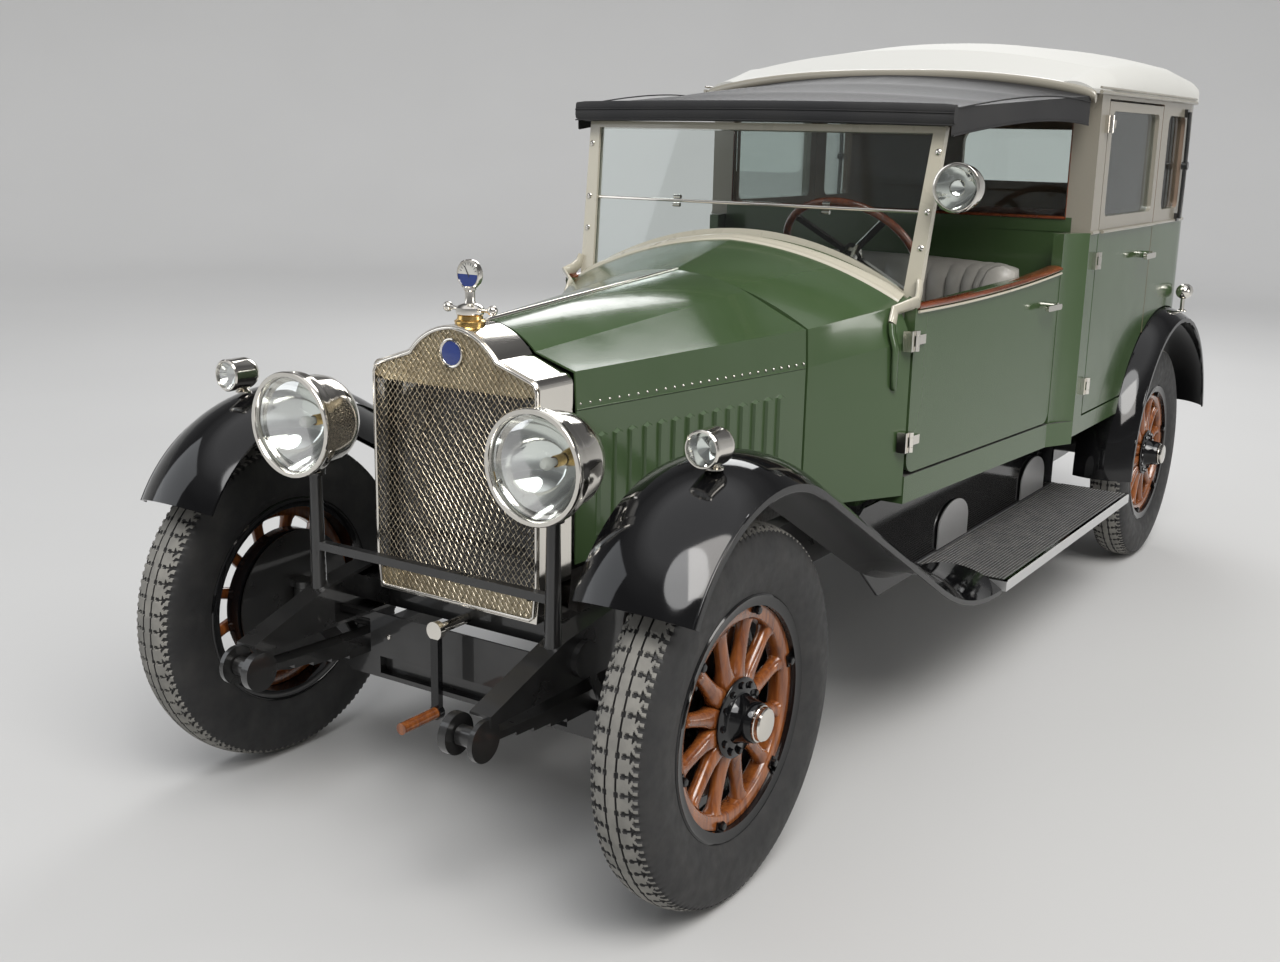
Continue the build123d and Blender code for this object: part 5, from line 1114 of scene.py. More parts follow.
@dataclass
class Lamps:
    """Lamp fittings: rims, reflectors, bulbs, clamps and pedestals.

    Attributes:
        head: Middle of the left headlamp's rim.
        spot: Middle of the spot lamp.
    """

    head: Point = (0.349, -2.087, 0.955)
    spot: Point = (0.660, -0.626, 1.497)

    def headlamp(self, side: int) -> None:
        """Make one headlamp.

        Args:
            side: 1 for the car's left, -1 for its right.
        """
        name = "left" if side > 0 else "right"
        x, y, z = self.head[0] * side, self.head[1], self.head[2]
        place = facing((x, y, z), (0, -1, 0))
        body = [
            (0.0, -0.165), (0.030, -0.1645), (0.052, -0.158), (0.072, -0.146), (0.090, -0.130),
            (0.101, -0.112), (0.1065, -0.090), (0.1080, -0.060), (0.1095, -0.034), (0.1180, -0.032),
            (0.1215, -0.028), (0.1225, -0.018), (0.1215, -0.008), (0.1225, -0.004), (0.1240, 0.000),
            (0.1240, 0.005), (0.1220, 0.0080), (0.1130, 0.0080), (0.1105, 0.004), (0.1100, -0.0100),
        ]
        shell = Shape().lathe(body, place, 64).piece(f"headlamp_shell_{name}", Look.NICKEL)
        if side > 0:
            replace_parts(shell, "headlamps")
        bowl = [
            (0.1098, -0.008), (0.100, -0.030), (0.085, -0.055), (0.062, -0.080), (0.035, -0.097),
            (0.014, -0.102), (0.0, -0.103),
        ]
        bulb = [
            (0.0, -0.030), (0.008, -0.032), (0.0135, -0.040), (0.0145, -0.050), (0.010, -0.062),
            (0.009, -0.072), (0.0, -0.073),
        ]
        socket = [(0.0115, -0.070), (0.0130, -0.074), (0.0130, -0.100), (0.0, -0.101)]
        for part, profile, sides, finish in (
            ("reflector", bowl, 64, Look.BRIGHT), ("bulb", bulb, 24, Look.DIAL),
            ("bulb_socket", socket, 24, Look.BRASS),
        ):
            Shape().lathe(profile, place, sides).piece(f"{part}_{name}", finish)
        lens = [
            (0.0, 0.0040), (0.04, 0.0026), (0.08, -0.0018), (0.1075, -0.0085), (0.1095, -0.0105)
        ]
        glass = Shape().lathe(lens, place, 48).piece(f"headlamp_glass_{name}", Look.GLASS)
        if side > 0:
            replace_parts(glass, "headlamp_lenses")
        clamp = Shape()
        pin = [(0.0, -0.016), (0.0055, -0.015), (0.0055, 0.0), (0.0045, 0.002), (0.0, 0.002)]
        reach = Matrix.Translation((0.1165, 0.0, -0.0145))
        level = Matrix.Rotation(math.pi / 2, 4, "Y") @ Matrix.Translation((0, 0, 0.004))
        for turn in (90, 205, 335):
            spin = Matrix.Rotation(math.radians(turn), 4, "Z")
            clamp.merge(Shape().lathe(pin, None, 12), place @ spin @ reach @ level)
        post = facing((x, y + 0.062, z - 0.104), (0, 0, -1))
        foot = [(0.020, -0.008), (0.024, 0.0), (0.024, 0.016), (0.017, 0.022), (0.0, 0.022)]
        clamp.lathe(foot, post, 24)
        clamp.piece(f"headlamp_clamps_{name}", Look.NICKEL)

    def fender_lamp(
        self, name: str, side: int, centre: Point, radius: float, length: float, foot: float,
        lens: Finish,
    ) -> bpy.types.Object:
        """Make one bullet lamp on a turned pedestal.

        Args:
            name: Name of the lamp.
            side: 1 for the car's left, -1 for its right.
            centre: Middle of its bulge.
            radius: Its radius.
            length: Length of its body.
            foot: Height of the fender below it.
            lens: Finish of its lens.

        Returns:
            The lamp's shell.
        """
        x, y, z = centre[0] * side, centre[1], centre[2]
        forward = -1 if lens is Look.GLASS else 1
        place = facing((x, y, z), (0, forward, 0))
        front = length / 2
        body = [
            *half_ball(radius), (radius * 0.99, front - 0.014), (radius * 1.0, front - 0.012),
            (radius * 1.0, front - 0.003), (radius * 0.93, front), (radius * 0.86, front),
            (radius * 0.84, front - 0.006),
        ]
        shape = Shape().lathe(body, place, 40)
        neck = z - foot - radius * 0.9
        stem = [
            (0.020, 0.0), (0.0195, 0.003), (0.0120, 0.006), (0.0085, 0.010), (0.0085, neck),
            (0.0125, neck + 0.003), (0.0125, z - foot - radius * 0.6),
        ]
        shape.lathe(stem, Matrix.Translation((x, y, foot + 0.0003)), 24)
        made = shape.piece(name, Look.NICKEL)
        wide = radius * 0.85
        pane = [(0.0, front - 0.002), (radius * 0.5, front - 0.003), (wide, front - 0.0055)]
        Shape().lathe(pane, place, 32).piece(name + "_lens", lens)
        if lens is Look.GLASS:
            dish = [(wide, front - 0.008), (radius * 0.6, front - 0.024), (0.0, front - 0.034)]
            Shape().lathe(dish, place, 32).piece(name + "_dish", Look.BRIGHT)
        return made

    def spotlight(self) -> None:
        """Make the spot lamp on the left screen post."""
        x, y, z = self.spot
        place = facing(self.spot, (0, -1, 0))
        body = [
            *half_ball(0.062), (0.0625, 0.026), (0.066, 0.028), (0.066, 0.038), (0.063, 0.040),
            (0.0585, 0.040), (0.057, 0.034),
        ]
        shape = Shape().lathe(body, place, 48)
        shape.tube([(x - 0.058, y + 0.044, z), (x - 0.0765, y + 0.044, z)], 0.0115, 16)
        shape.tube([(x - 0.015, y + 0.040, z), (x - 0.058, y + 0.044, z)], 0.0085, 16)
        shape.piece("spotlight_shell", Look.NICKEL)
        pane = [(0.0, 0.0385), (0.030, 0.0375), (0.0575, 0.034)]
        Shape().lathe(pane, place, 40).piece("spotlight_glass", Look.GLASS)
        dish = [(0.0575, 0.032), (0.045, 0.005), (0.022, -0.018), (0.0, -0.024)]
        Shape().lathe(dish, place, 40).piece("spotlight_dish", Look.BRIGHT)

    def dress(self) -> None:
        """Make every lamp."""
        for side, word in reversed(SIDES):
            self.headlamp(side)
            front = self.fender_lamp(
                f"fender_lamp_{word}", side, (0.683, -1.929, 1.020), 0.040, 0.110, 0.9719,
                Look.GLASS,
            )
            self.fender_lamp(
                f"tail_lamp_{word}", side, (0.752, 1.650, 1.048), 0.030, 0.070, 0.9702, Look.RED
            )
            if side > 0:
                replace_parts(front, "side_lamps")
        self.spotlight()


def stuff(made: bpy.types.Object, cap: float, pressure: float = 4.0) -> None:
    """Swell a cushion with a short cloth simulation and keep the result.

    Args:
        made: The cushion, a closed mesh in the row frame.
        cap: Furthest that a point may move, in metres.
        pressure: Pressure inside it.
    """
    rest = np.empty(len(made.data.vertices) * 3)
    made.data.vertices.foreach_get("co", rest)
    swollen = simulate(
        made, CUSHION_FRAMES, 0.0, use_pressure=True, uniform_pressure_force=pressure, quality=4,
        tension_stiffness=25, compression_stiffness=25,
    )
    shift = (swollen - rest).reshape(-1, 3)
    length = np.linalg.norm(shift, axis=1, keepdims=True)
    shift *= np.minimum(1.0, cap / np.maximum(length, 1e-9))
    made.data.vertices.foreach_set("co", (rest.reshape(-1, 3) + shift).ravel())
    made.data.update()
    furthest = 1000 * np.linalg.norm(shift, axis=1).max()
    log.info("stuffed %s: moved %.1f mm at most", made.name, furthest)


@dataclass
class Seats:
    """The driver's curved pleated bench and the rear seat, as padded leather and plush.

    Attributes:
        bench_front: Front of the driver's bench.
        bench_rear: Rear of the driver's bench.
        seat_top: Top of its cushion.
        back_top: Top of its back.
        rear_front: Front of the rear seat.
        deck: Height of the deck below the rear seat.
    """

    bench_front: float = -0.190
    bench_rear: float = 0.370
    seat_top: float = 0.930
    back_top: float = 1.240
    rear_front: float = 1.150
    deck: float = 0.760

    def cushion(
        self, low: Point, high: Point, channels: int, name: str, finish: Finish, crown: float = 0.02
    ) -> bpy.types.Object:
        """Make a crowned cushion with sewn channels across its top.

        Args:
            low: Lowest corner.
            high: Highest corner.
            channels: Number of channels along x.
            name: Name of the piece.
            finish: Its finish.
            crown: How far its middle stands above its edges.

        Returns:
            The cushion.
        """
        width, depth = high[0] - low[0], high[1] - low[1]
        columns, rows = channels * 8, 26
        top, bottom = [], []
        for row in range(rows + 1):
            v = row / rows
            top_line, low_line = [], []
            for column in range(columns + 1):
                u = column / columns
                edge = min(1.0, 12 * min(u, 1 - u), 9 * min(v, 1 - v))
                edge = math.sin(math.pi / 2 * edge)
                bulge = crown * math.sin(math.pi * u) ** 0.5 * math.sin(math.pi * v) ** 0.5
                channel = 0.011 * abs(math.sin(math.pi * channels * u)) ** 0.6 * edge
                pull = 0.012 * (1 - edge)
                x = low[0] + pull + (width - 2 * pull) * u
                y = low[1] + pull + (depth - 2 * pull) * v
                z = high[2] - crown - 0.011 - 0.045 * (1 - edge) + bulge + channel
                top_line.append(Vector((x, y, z)))
                low_line.append(Vector((x, y, low[2])))
            top.append(top_line)
            bottom.append(low_line)
        shape = Shape().grid(top)
        shape.grid([list(reversed(line)) for line in bottom])
        for pair in (
            [bottom[0], top[0]], [top[-1], bottom[-1]],
            [[line[0] for line in top], [line[0] for line in bottom]],
            [[line[-1] for line in bottom], [line[-1] for line in top]],
        ):
            shape.grid(pair)
        made = shape.piece(name, finish, smooth=60)
        self.weld(made)
        return made

    def weld(self, made: bpy.types.Object) -> None:
        """Join points that lie together, so that the form is closed.

        Args:
            made: The piece to weld.
        """
        mesh = bmesh.new()
        mesh.from_mesh(made.data)
        bmesh.ops.remove_doubles(mesh, verts=mesh.verts, dist=0.0004)
        bmesh.ops.recalc_face_normals(mesh, faces=mesh.faces)
        mesh.to_mesh(made.data)
        mesh.free()

    def bench_back(self) -> bpy.types.Object:
        """Make the driver's wrap-round back with upright pleats and a rolled top.

        Returns:
            The back.
        """
        pleats, steps = 18, 18 * 10
        profile = (
            (0.30, 0.0), (0.55, 0.012), (0.72, 0.020), (0.84, 0.018), (0.90, 0.012), (0.95, 0.004),
            (0.985, -0.016), (1.0, -0.040),
        )
        rows = []
        for step in range(steps + 1):
            share = step / steps
            turn = math.pi * share
            bow = math.sin(turn) ** 0.8
            out_x, out_y = -0.592 * math.cos(turn), 0.045 + (self.bench_rear - 0.055) * bow
            in_x, in_y = -0.512 * math.cos(turn), 0.035 + (self.bench_rear - 0.165) * bow
            pleat = 0.015 * abs(math.sin(math.pi * pleats * share)) ** 0.55
            towards = Vector((in_x - out_x, in_y - out_y, 0)).normalized()
            row = []
            for height, reach in profile:
                z = self.seat_top - 0.10 + (self.back_top - self.seat_top + 0.10) * height
                fade = min(1.0, 6 * (1.02 - height))
                row.append(Vector((in_x, in_y, z)) + towards * (reach + pleat * fade))
            row.append(Vector(((out_x + in_x) / 2, (out_y + in_y) / 2, self.back_top)))
            row.append(Vector((out_x * 0.995, out_y * 0.995, self.back_top - 0.018)))
            row.append(Vector((out_x, out_y, self.back_top - 0.05)))
            row.append(Vector((out_x, out_y, self.seat_top - 0.02)))
            rows.append(row)
        shape = Shape().grid(rows, round_columns=True)
        shape.add(rows[0], [tuple(range(len(rows[0])))])
        shape.add(rows[-1], [tuple(reversed(range(len(rows[-1]))))])
        made = shape.piece("bench_back", Look.LEATHER, smooth=60)
        self.weld(made)
        return made

    def dress(self) -> None:
        """Make the seats."""
        low, high = (-0.525, self.bench_front + 0.012, 0.656), (0.525, 0.30, self.seat_top - 0.14)
        base = Shape().box(low, high)
        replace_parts(base.piece("bench_base", Look.CORE), "seats")
        front = self.cushion(
            (-0.535, self.bench_front, self.seat_top - 0.145),
            (0.535, 0.205, self.seat_top - 0.008), 15, "bench_cushion", Look.LEATHER,
        )
        back = self.bench_back()
        y = self.rear_front
        rear = self.cushion(
            (-0.545, y, self.deck + 0.08), (0.545, y + 0.50, self.deck + 0.232), 11, "rear_cushion",
            Look.PLUSH, 0.03,
        )
        box = Shape().box((-0.54, y + 0.01, self.deck + 0.001), (0.54, y + 0.50, self.deck + 0.085))
        box.piece("rear_seat_base", Look.PLUSH)
        rear_back = self.upright_back(y)
        for made, cap in ((front, 0.008), (rear, 0.010), (rear_back, 0.010), (back, 0.006)):
            stuff(made, cap)

    def upright_back(self, y: float) -> bpy.types.Object:
        """Make the rear seat's back.

        Args:
            y: Front of the rear seat.

        Returns:
            The back.
        """
        made = self.cushion(
            (-0.435, 0.0, 0.0), (0.435, 0.50, 0.135), 9, "rear_back", Look.PLUSH, 0.03
        )
        tilt = Matrix.Rotation(math.radians(82), 4, "X")
        move = Matrix.Translation((0, y + 0.665, self.deck + 0.10)) @ tilt
        made.data.transform(move)
        return made


@dataclass
class FoldingHead:
    """The leathercloth head over the driver, stretched between the screen and the roof.

    Attributes:
        front: Its front edge, at the screen.
        rear: Its rear edge, at the roof.
        valance_half: Half the width of its rolled front edge.
        valance_z: Height of the rolled edge at its ends.
        valance_crown: How much higher the rolled edge is in the middle.
    """

    front: float = -0.604
    rear: float = 0.3497
    valance_half: float = 0.620
    valance_z: float = 1.6975
    valance_crown: float = 0.006

    def section(self, v: float) -> tuple[float, float, float]:
        """Return half width, side height and middle height at a share of the way back.

        Args:
            v: Share from the front, 0 to 1.

        Returns:
            The three sizes.
        """
        return (0.613 + 0.083 * v, 1.704 + 0.060 * v, 1.716 + 0.116 * v)

    def along(self, v: float) -> float:
        """Return the position along the car at a share of the way back."""
        return self.front + (self.rear - self.front) * v

    def drop(self, v: float) -> float:
        """Return how far the side hangs down at a share of the way back."""
        return 0.074 - 0.016 * math.sin(math.pi * v) + 0.016 * v**6

    def cloth(self) -> bpy.types.Object:
        """Make the stretched sheet, with its sides turned down.

        Returns:
            The sheet.
        """
        columns, rows = 44, 40
        grid = []
        for row in range(rows + 1):
            v = row / rows
            half, side_z, middle_z = self.section(v)
            y, drop = self.along(v), self.drop(v)
            line = [Vector((-half + 0.0005, y, side_z - drop * step)) for step in (1.0, 0.66, 0.33)]
            for column in range(columns + 1):
                share = 2 * column / columns - 1
                sag = 0.006 * abs(math.sin(3 * math.pi * v)) * (1 - share * share)
                z = side_z + (middle_z - side_z) * (1 - share * share) - sag
                line.append(Vector((half * share * 0.9995, y, z)))
            line += [Vector((half - 0.0005, y, side_z - drop * step)) for step in (0.33, 0.66, 1.0)]
            grid.append(line)
        made = Shape().grid(grid).piece("head_cloth_sheet", Look.HEAD, smooth=60)
        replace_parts(made, "canopy")
        self.settle(made, rows, columns + 7)
        return made

    def settle(self, made: bpy.types.Object, rows: int, width: int) -> None:
        """Let the sheet hang between its fastened edges for a few frames, and keep the result.

        Args:
            made: The sheet.
            rows: Steps along it.
            width: Points across it.
        """
        group = made.vertex_groups.new(name="fastened")
        held = []
        for index in range(len(made.data.vertices)):
            row, column = divmod(index, width)
            if row in (0, rows // 3, 2 * rows // 3, rows) or min(column, width - 1 - column) < 4:
                held.append(index)
        group.add(held, 1.0, "REPLACE")
        moved = simulate(
            made, SHEET_FRAMES, 1.0, vertex_group_mass="fastened", quality=6, tension_stiffness=60,
            compression_stiffness=60, bending_stiffness=4,
        )
        made.data.vertices.foreach_set("co", moved)
        made.data.update()

    def dress(self) -> None:
        """Make the sheet, what it rests on and its edges."""
        self.supports()
        self.cloth()
        self.edges()

    def supports(self) -> None:
        """Make the bows and the side rails below the sheet."""
        bows = Shape()
        for v in (0.02, 1 / 3, 2 / 3, 0.985):
            half, side_z, middle_z = self.section(v)
            path = []
            for step in range(25):
                share = 2 * step / 24 - 1
                z = side_z - 0.015 + (middle_z - side_z) * (1 - share * share)
                path.append(((half - 0.012) * share, self.along(v), z))
            bows.tube(path, 0.0085, 10)
        bows.piece("head_bows", Look.MAHOGANY)
        rails = Shape()
        for side in (-1, 1):
            start = (side * 0.596, self.front + 0.01, 1.672)
            rails.tube([start, (side * 0.680, self.rear - 0.01, 1.732)], 0.0105, 12)
        rails.piece("head_rails", Look.CHASSIS)

    def edges(self) -> None:
        """Make the rolled front edge and the piping on it and along the sides."""
        valance, piping = Shape(), Shape()
        section = [
            (0.014, 0.0165), (0.002, 0.0160), (-0.0035, 0.0090), (-0.0045, -0.0060),
            (-0.0035, -0.0080), (-0.0050, -0.0100), (-0.0070, -0.0260), (-0.0030, -0.0400),
            (0.006, -0.0440), (0.016, -0.0400), (0.024, -0.0200), (0.026, 0.0050),
        ]
        half, level = self.valance_half, self.valance_z
        rows = []
        for share in np.linspace(-1, 1, 41):
            middle_z = level + self.valance_crown * (1 - share * share)
            end = 1 - 0.16 * max(0.0, abs(share) * 40 - 39)
            row = []
            for y, z in section:
                row.append(Vector((half * share, self.front + y * end, middle_z + z * end)))
            rows.append(row)
        valance.bar(rows)
        for y, z in ((-0.0052, -0.0080), (-0.0042, -0.0395)):
            path = []
            for share in np.linspace(-1, 1, 41):
                lift = self.valance_crown * (1 - share * share)
                path.append((half * share, self.front + y, level + lift + z))
            piping.tube(path, 0.0021, 8)
        for side in (-1, 1):
            low, high = [], []
            for v in np.linspace(0.01, 0.995, 24):
                half, side_z, _ = self.section(v)
                y, z = self.along(v), side_z - self.drop(v)
                low.append((side * half, y, z))
                high.append((side * (half + 0.0015), y, z + 0.070))
            piping.tube(low, 0.0030, 8)
            piping.tube(high, 0.0022, 8)
        valance.piece("head_front_valance", Look.HEAD, smooth=50)
        piping.piece("head_piping", Look.HEAD, smooth=60)


@dataclass
class Trim:
    """Mouldings, rivets, handles, ribs and other small fittings of the body.

    Attributes:
        cabin_x: Where the belt moulding lies on the cabin's side.
        door_x: Where it lies on the rear doors, which stand a little proud.
        division_y: Front of the division.
    """

    cabin_x: float = 0.7165
    door_x: float = 0.7245
    division_y: float = 0.4100

    def bonnet(self) -> None:
        """Rivets along the side hinge, given bright nickel as a painted glint on their green paint,
        and catches of the bonnet.
        """
        rivet = [(0.0036, -0.001), (0.0032, 0.0012), (0.0018, 0.0022), (0.0, 0.0025)]
        catch = [
            (0.019, 0.0), (0.019, 0.003), (0.012, 0.006), (0.010, 0.014), (0.013, 0.018),
            (0.0, 0.020),
        ]
        start, stop = Vector((0.2495, -1.785, 1.032)), Vector((0.4153, -1.018, 1.046))
        outward = Vector((stop.y - start.y, start.x - stop.x, 0)).normalized()
        front, rear = Vector((0.249, -1.799, 0.0)), Vector((0.415, -1.004, 0.0))
        for side, word in SIDES:
            away = (outward.x * side, outward.y, 0)
            rivets = Shape()
            for index in range(27):
                spot = start.lerp(stop, index / 26)
                rivets.lathe(rivet, facing((spot.x * side, spot.y, spot.z), away), 10)
            # The rivets are painted green; the bright nickel stands in for the glints on them, a
            # painted highlight.
            rivets.piece(f"bonnet_rivets_painted_glint_{word}", Look.NICKEL, f"bonnet_top_{word}", 60)
            catches = Shape()
            for share in (0.16, 0.80):
                spot = front.lerp(rear, share)
                z = 0.672 + 0.075 * share + 0.045
                catches.lathe(catch, facing((spot.x * side, spot.y, z), away), 20)
            catches.piece(f"bonnet_catches_{word}", Look.NICKEL, f"bonnet_side_{word}", 40)

    def boards(self) -> None:
        """Ribs, edging and kick plates of the running boards."""
        low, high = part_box("running_boards")
        front, rear, top = low.y, high.y, high.z
        ribs, edge, kick = Shape(), Shape(), Shape()
        for side in (-1, 1):
            for index in range(25):
                x = BOARD_INNER + 0.012 + (BOARD_OUTER - BOARD_INNER - 0.036) * index / 24
                x0, x1 = sorted((side * (x - 0.0024), side * (x + 0.0024)))
                ribs.box((x0, front + 0.012, top), (x1, rear - 0.012, top + 0.0022))
            x0, x1 = sorted((side * (BOARD_OUTER - 0.012), side * BOARD_OUTER))
            edge.box((x0, front, top), (x1, rear, top + 0.0035))
            x0, x1 = sorted((side * BOARD_INNER, side * BOARD_OUTER))
            edge.box((x0, rear - 0.010, top), (x1, rear, top + 0.0035))
            edge.box((x0, front, top), (x1, front + 0.010, top + 0.0035))
            for y in (-0.14, 0.63):
                outline = [(y - 0.125, top + 0.01), (y + 0.125, top + 0.01)]
                for a in np.linspace(0, math.pi, 19):
                    outline.append((y + 0.125 * math.cos(a), top + 0.07 + 0.075 * math.sin(a)))
                count = len(outline)
                points = []
                for x in (0.5285, 0.5245):
                    points += [Vector((side * x, py, pz)) for py, pz in outline]
                faces = [tuple(range(count)), tuple(reversed(range(count, 2 * count)))]
                for i in range(count):
                    after = (i + 1) % count
                    faces.append((i, after, count + after, count + i))
                kick.add(points, faces)
        ribs.piece("board_ribs", Look.MAT, smooth=10)
        edge.piece("board_edging", Look.BRIGHT, smooth=10)
        kick.piece("kick_plates", Look.ALUMINIUM, smooth=30)

    def on_screen(self, x: float, height: float, out: float = 0.0) -> Point:
        """Return a point on the screen's plane.

        Args:
            x: Position across the car.
            height: Distance up the plane from its foot.
            out: How far it stands out in front of the plane.

        Returns:
            The point.
        """
        y = SCREEN_FOOT_Y + height * math.sin(SCREEN_RAKE) - out * math.cos(SCREEN_RAKE)
        return (x, y, SCREEN_FOOT_Z + height * math.cos(SCREEN_RAKE) + out * math.sin(SCREEN_RAKE))

    def screen(self) -> None:
        """Middle bar, clips and post feet of the windscreen, and the band before it."""
        clips = Shape()
        for x in (-0.25, 0.25):
            for height in (0.226, 0.250):
                ends = [self.on_screen(x + reach, height, -0.006) for reach in (-0.012, 0.012)]
                clips.tube(ends, 0.006, 10)
        knob = [(0.0085, 0.0), (0.0085, 0.003), (0.006, 0.005), (0.0, 0.0062)]
        for side in (-1, 1):
            for height in (0.14, 0.238, 0.40):
                half = 0.548 + 0.028 * height / 0.47
                place = facing(self.on_screen(side * half, height, 0.011), (0, -1, 0.16))
                clips.lathe(knob, place, 16)
        self.post_feet()
        ends = [self.on_screen(x, 0.238) for x in (-0.538, 0.538)]
        bar = Shape().tube(ends, 0.0048, 10)
        bar.piece("screen_middle_bar", Look.NICKEL)
        self.cowl_band()
        clips.piece("screen_clips", Look.NICKEL)

    def scuttle_tree(self) -> BVHTree:
        """Return the scuttle's surface, ready for rays."""
        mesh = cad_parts["scuttle"].data
        points = [vertex.co for vertex in mesh.vertices]
        return BVHTree.FromPolygons(points, [tuple(face.vertices) for face in mesh.polygons])

    def post_feet(self) -> None:
        """The elbows of the screen posts and the straps that hold them to the scuttle's sides."""
        tree = self.scuttle_tree()

        def skin(y: float, z: float) -> Vector:
            """Return a point just off the scuttle's left side."""
            hit = tree.ray_cast(Vector((0.95, y, z)), Vector((-1, 0, 0)))[0]
            return Vector(((hit.x if hit else 0.585) + 0.0045, y, z))

        path = [
            (Vector((0.566, -0.640, 1.245)), 0.0190), (Vector((0.570, -0.648, 1.222)), 0.0200),
            (Vector((0.578, -0.672, 1.204)), 0.0200), (Vector((0.588, -0.702, 1.193)), 0.0200),
            (skin(-0.732, 1.170) + Vector((0.002, 0, 0)), 0.0210), (skin(-0.750, 1.135), 0.0220),
        ]
        for z in (1.110, 1.070, 1.030, 0.990, 0.965):
            path.append((skin(-0.756, z), 0.0220 - 0.010 * (1.110 - z) / 0.15))
        path.append((skin(-0.756, 0.955), 0.003))
        for name, run, finish in (
            ("screen_post_elbows", path[:6], Look.CREAM),
            ("screen_post_straps", path[5:], Look.GREEN),
        ):
            made = Shape()
            for side in (-1, 1):
                rows = []
                for index, (point, width) in enumerate(run):
                    ahead = run[min(index + 1, len(run) - 1)][0] - run[max(index - 1, 0)][0]
                    wide = ahead.cross(Vector((1, 0, 0))).normalized()
                    row = []
                    for step in range(14):
                        a = 2 * math.pi * step / 14
                        thick = Vector((0.0085 * math.sin(a), 0, 0))
                        spot = point + wide * (width * math.cos(a)) + thick
                        row.append(Vector((side * spot.x, spot.y, spot.z)))
                    rows.append(row)
                made.bar(rows)
            made.piece(name, finish, smooth=60)

    def cowl_band(self) -> None:
        """The pale band that lies on the scuttle before the foot of the screen."""
        tree = self.scuttle_tree()
        profile = (
            (0.0, 0.0), (0.004, 0.0042), (0.012, 0.0050), (0.018, 0.0030), (0.022, 0.0050),
            (0.036, 0.0062), (0.044, 0.0055),
        )
        rows = []
        for share in np.linspace(-1, 1, 91):
            x = 0.566 * math.sin(math.pi / 2 * share * 0.97)
            row = []
            for back, lift in profile:
                above = Vector((x, -0.700 + back, 1.7))
                hit, normal = tree.ray_cast(above, Vector((0, 0, -1)))[:2]
                if hit is None:
                    break
                row.append(hit + normal * (lift + 0.0002))
            if len(row) == len(profile):
                rows.append(row)
        log.info("cowl band: %d of 91 rows met the scuttle", len(rows))
        Shape().grid(rows).piece("cowl_band", Look.CREAM, smooth=60)

    def roof(self) -> None:
        """Rain gutter round the roof and the moulding across its front."""
        gutter_z, half, rear, radius = 1.7765, 0.7265, 1.9400, 0.3290
        path = [(half, y, gutter_z) for y in np.linspace(0.352, rear - radius, 20)]
        for a in np.linspace(0, math.pi / 2, 14)[1:]:
            x, y = half - radius + radius * math.cos(a), rear - radius + radius * math.sin(a)
            path.append((x, y, gutter_z))
        path += [(-x, y, z) for x, y, z in reversed(path)]
        rail = Shape().tube(path, 0.0062, 10)
        rail.tube([(x * 0.9975, y, z + 0.014) for x, y, z in path], 0.0040, 8)
        rail.piece("roof_gutter", Look.STONE, smooth=60)
        rows = []
        for share in np.linspace(-1, 1, 49):
            x = 0.712 * math.sin(math.pi / 2 * share * 0.985)
            z = 1.7700 + 0.062 * (1 - abs(x / 0.712) ** 2.6) - 0.012 * abs(share) ** 8
            row = []
            for a in np.linspace(0, 2 * math.pi, 17)[:-1]:
                row.append(Vector((x, 0.3475 + 0.0115 * math.cos(a), z + 0.0165 * math.sin(a))))
            rows.append(row)
        Shape().bar(rows).piece("roof_front_moulding", Look.STONE, smooth=60)

    def cabin(self) -> None:
        """Band and frame of the division, belt mouldings, and the doors' mouldings and caps."""
        y = self.division_y
        band = Shape().box((-0.650, y, BELT_Z), (0.650, y + 0.0019, 1.3795))
        band.piece("division_band", Look.GREEN)
        corners = [(0.6285, 1.3775), (0.6285, 1.7255), (-0.6285, 1.7255), (-0.6285, 1.3775)]
        window = Shape().tube([(x, y, z) for x, z in corners], 0.0055, 8, closed=True)
        window.piece("division_frame", Look.MAHOGANY)
        for side, word in SIDES:
            belt, x = Shape(), side * self.cabin_x
            belt.tube([(x, 0.418, BELT_Z), (x, 0.492, BELT_Z)], BELT_RADIUS, 8)
            path = [(x, y, BELT_Z) for y in np.linspace(1.212, 1.610, 8)]
            for a in np.linspace(0, math.pi / 2, 12)[1:]:
                corner_x = side * (0.3965 + 0.320 * math.cos(a))
                path.append((corner_x, 1.6115 + 0.320 * math.sin(a), BELT_Z))
            belt.tube(path, BELT_RADIUS, 8)
            belt.piece(f"belt_moulding_{word}", Look.STONE, smooth=60)
            door, x = Shape(), side * self.door_x
            door.tube([(x, 0.512, BELT_Z), (x, 1.190, BELT_Z)], BELT_RADIUS, 8)
            door.piece(f"door_belt_{word}", Look.STONE, f"rear_door_{word}", 60)
            rows, path = [], []
            for share in np.linspace(0, 1, 30):
                x, y = 0.5875 + 0.0770 * share, -0.690 + share * 0.985
                z, wide = 1.1795 + 0.042 * share**2.2, 0.019 + 0.011 * share**1.5
                row = []
                for step in range(12):
                    a = 2 * math.pi * step / 12
                    across = side * (x + 0.008 - wide + wide * math.cos(a))
                    row.append(Vector((across, y, z + 0.010 * math.sin(a))))
                rows.append(row)
                path.append((side * (0.5905 + 0.0770 * share), y, 1.1660 + 0.042 * share**2.2))
            strip = Shape().tube(path, 0.0042, 8)
            strip.piece(f"door_moulding_{word}", Look.CREAM, f"driver_door_{word}", 60)
            Shape().bar(rows).piece(f"door_cap_{word}", Look.MAHOGANY, f"driver_door_{word}", 60)

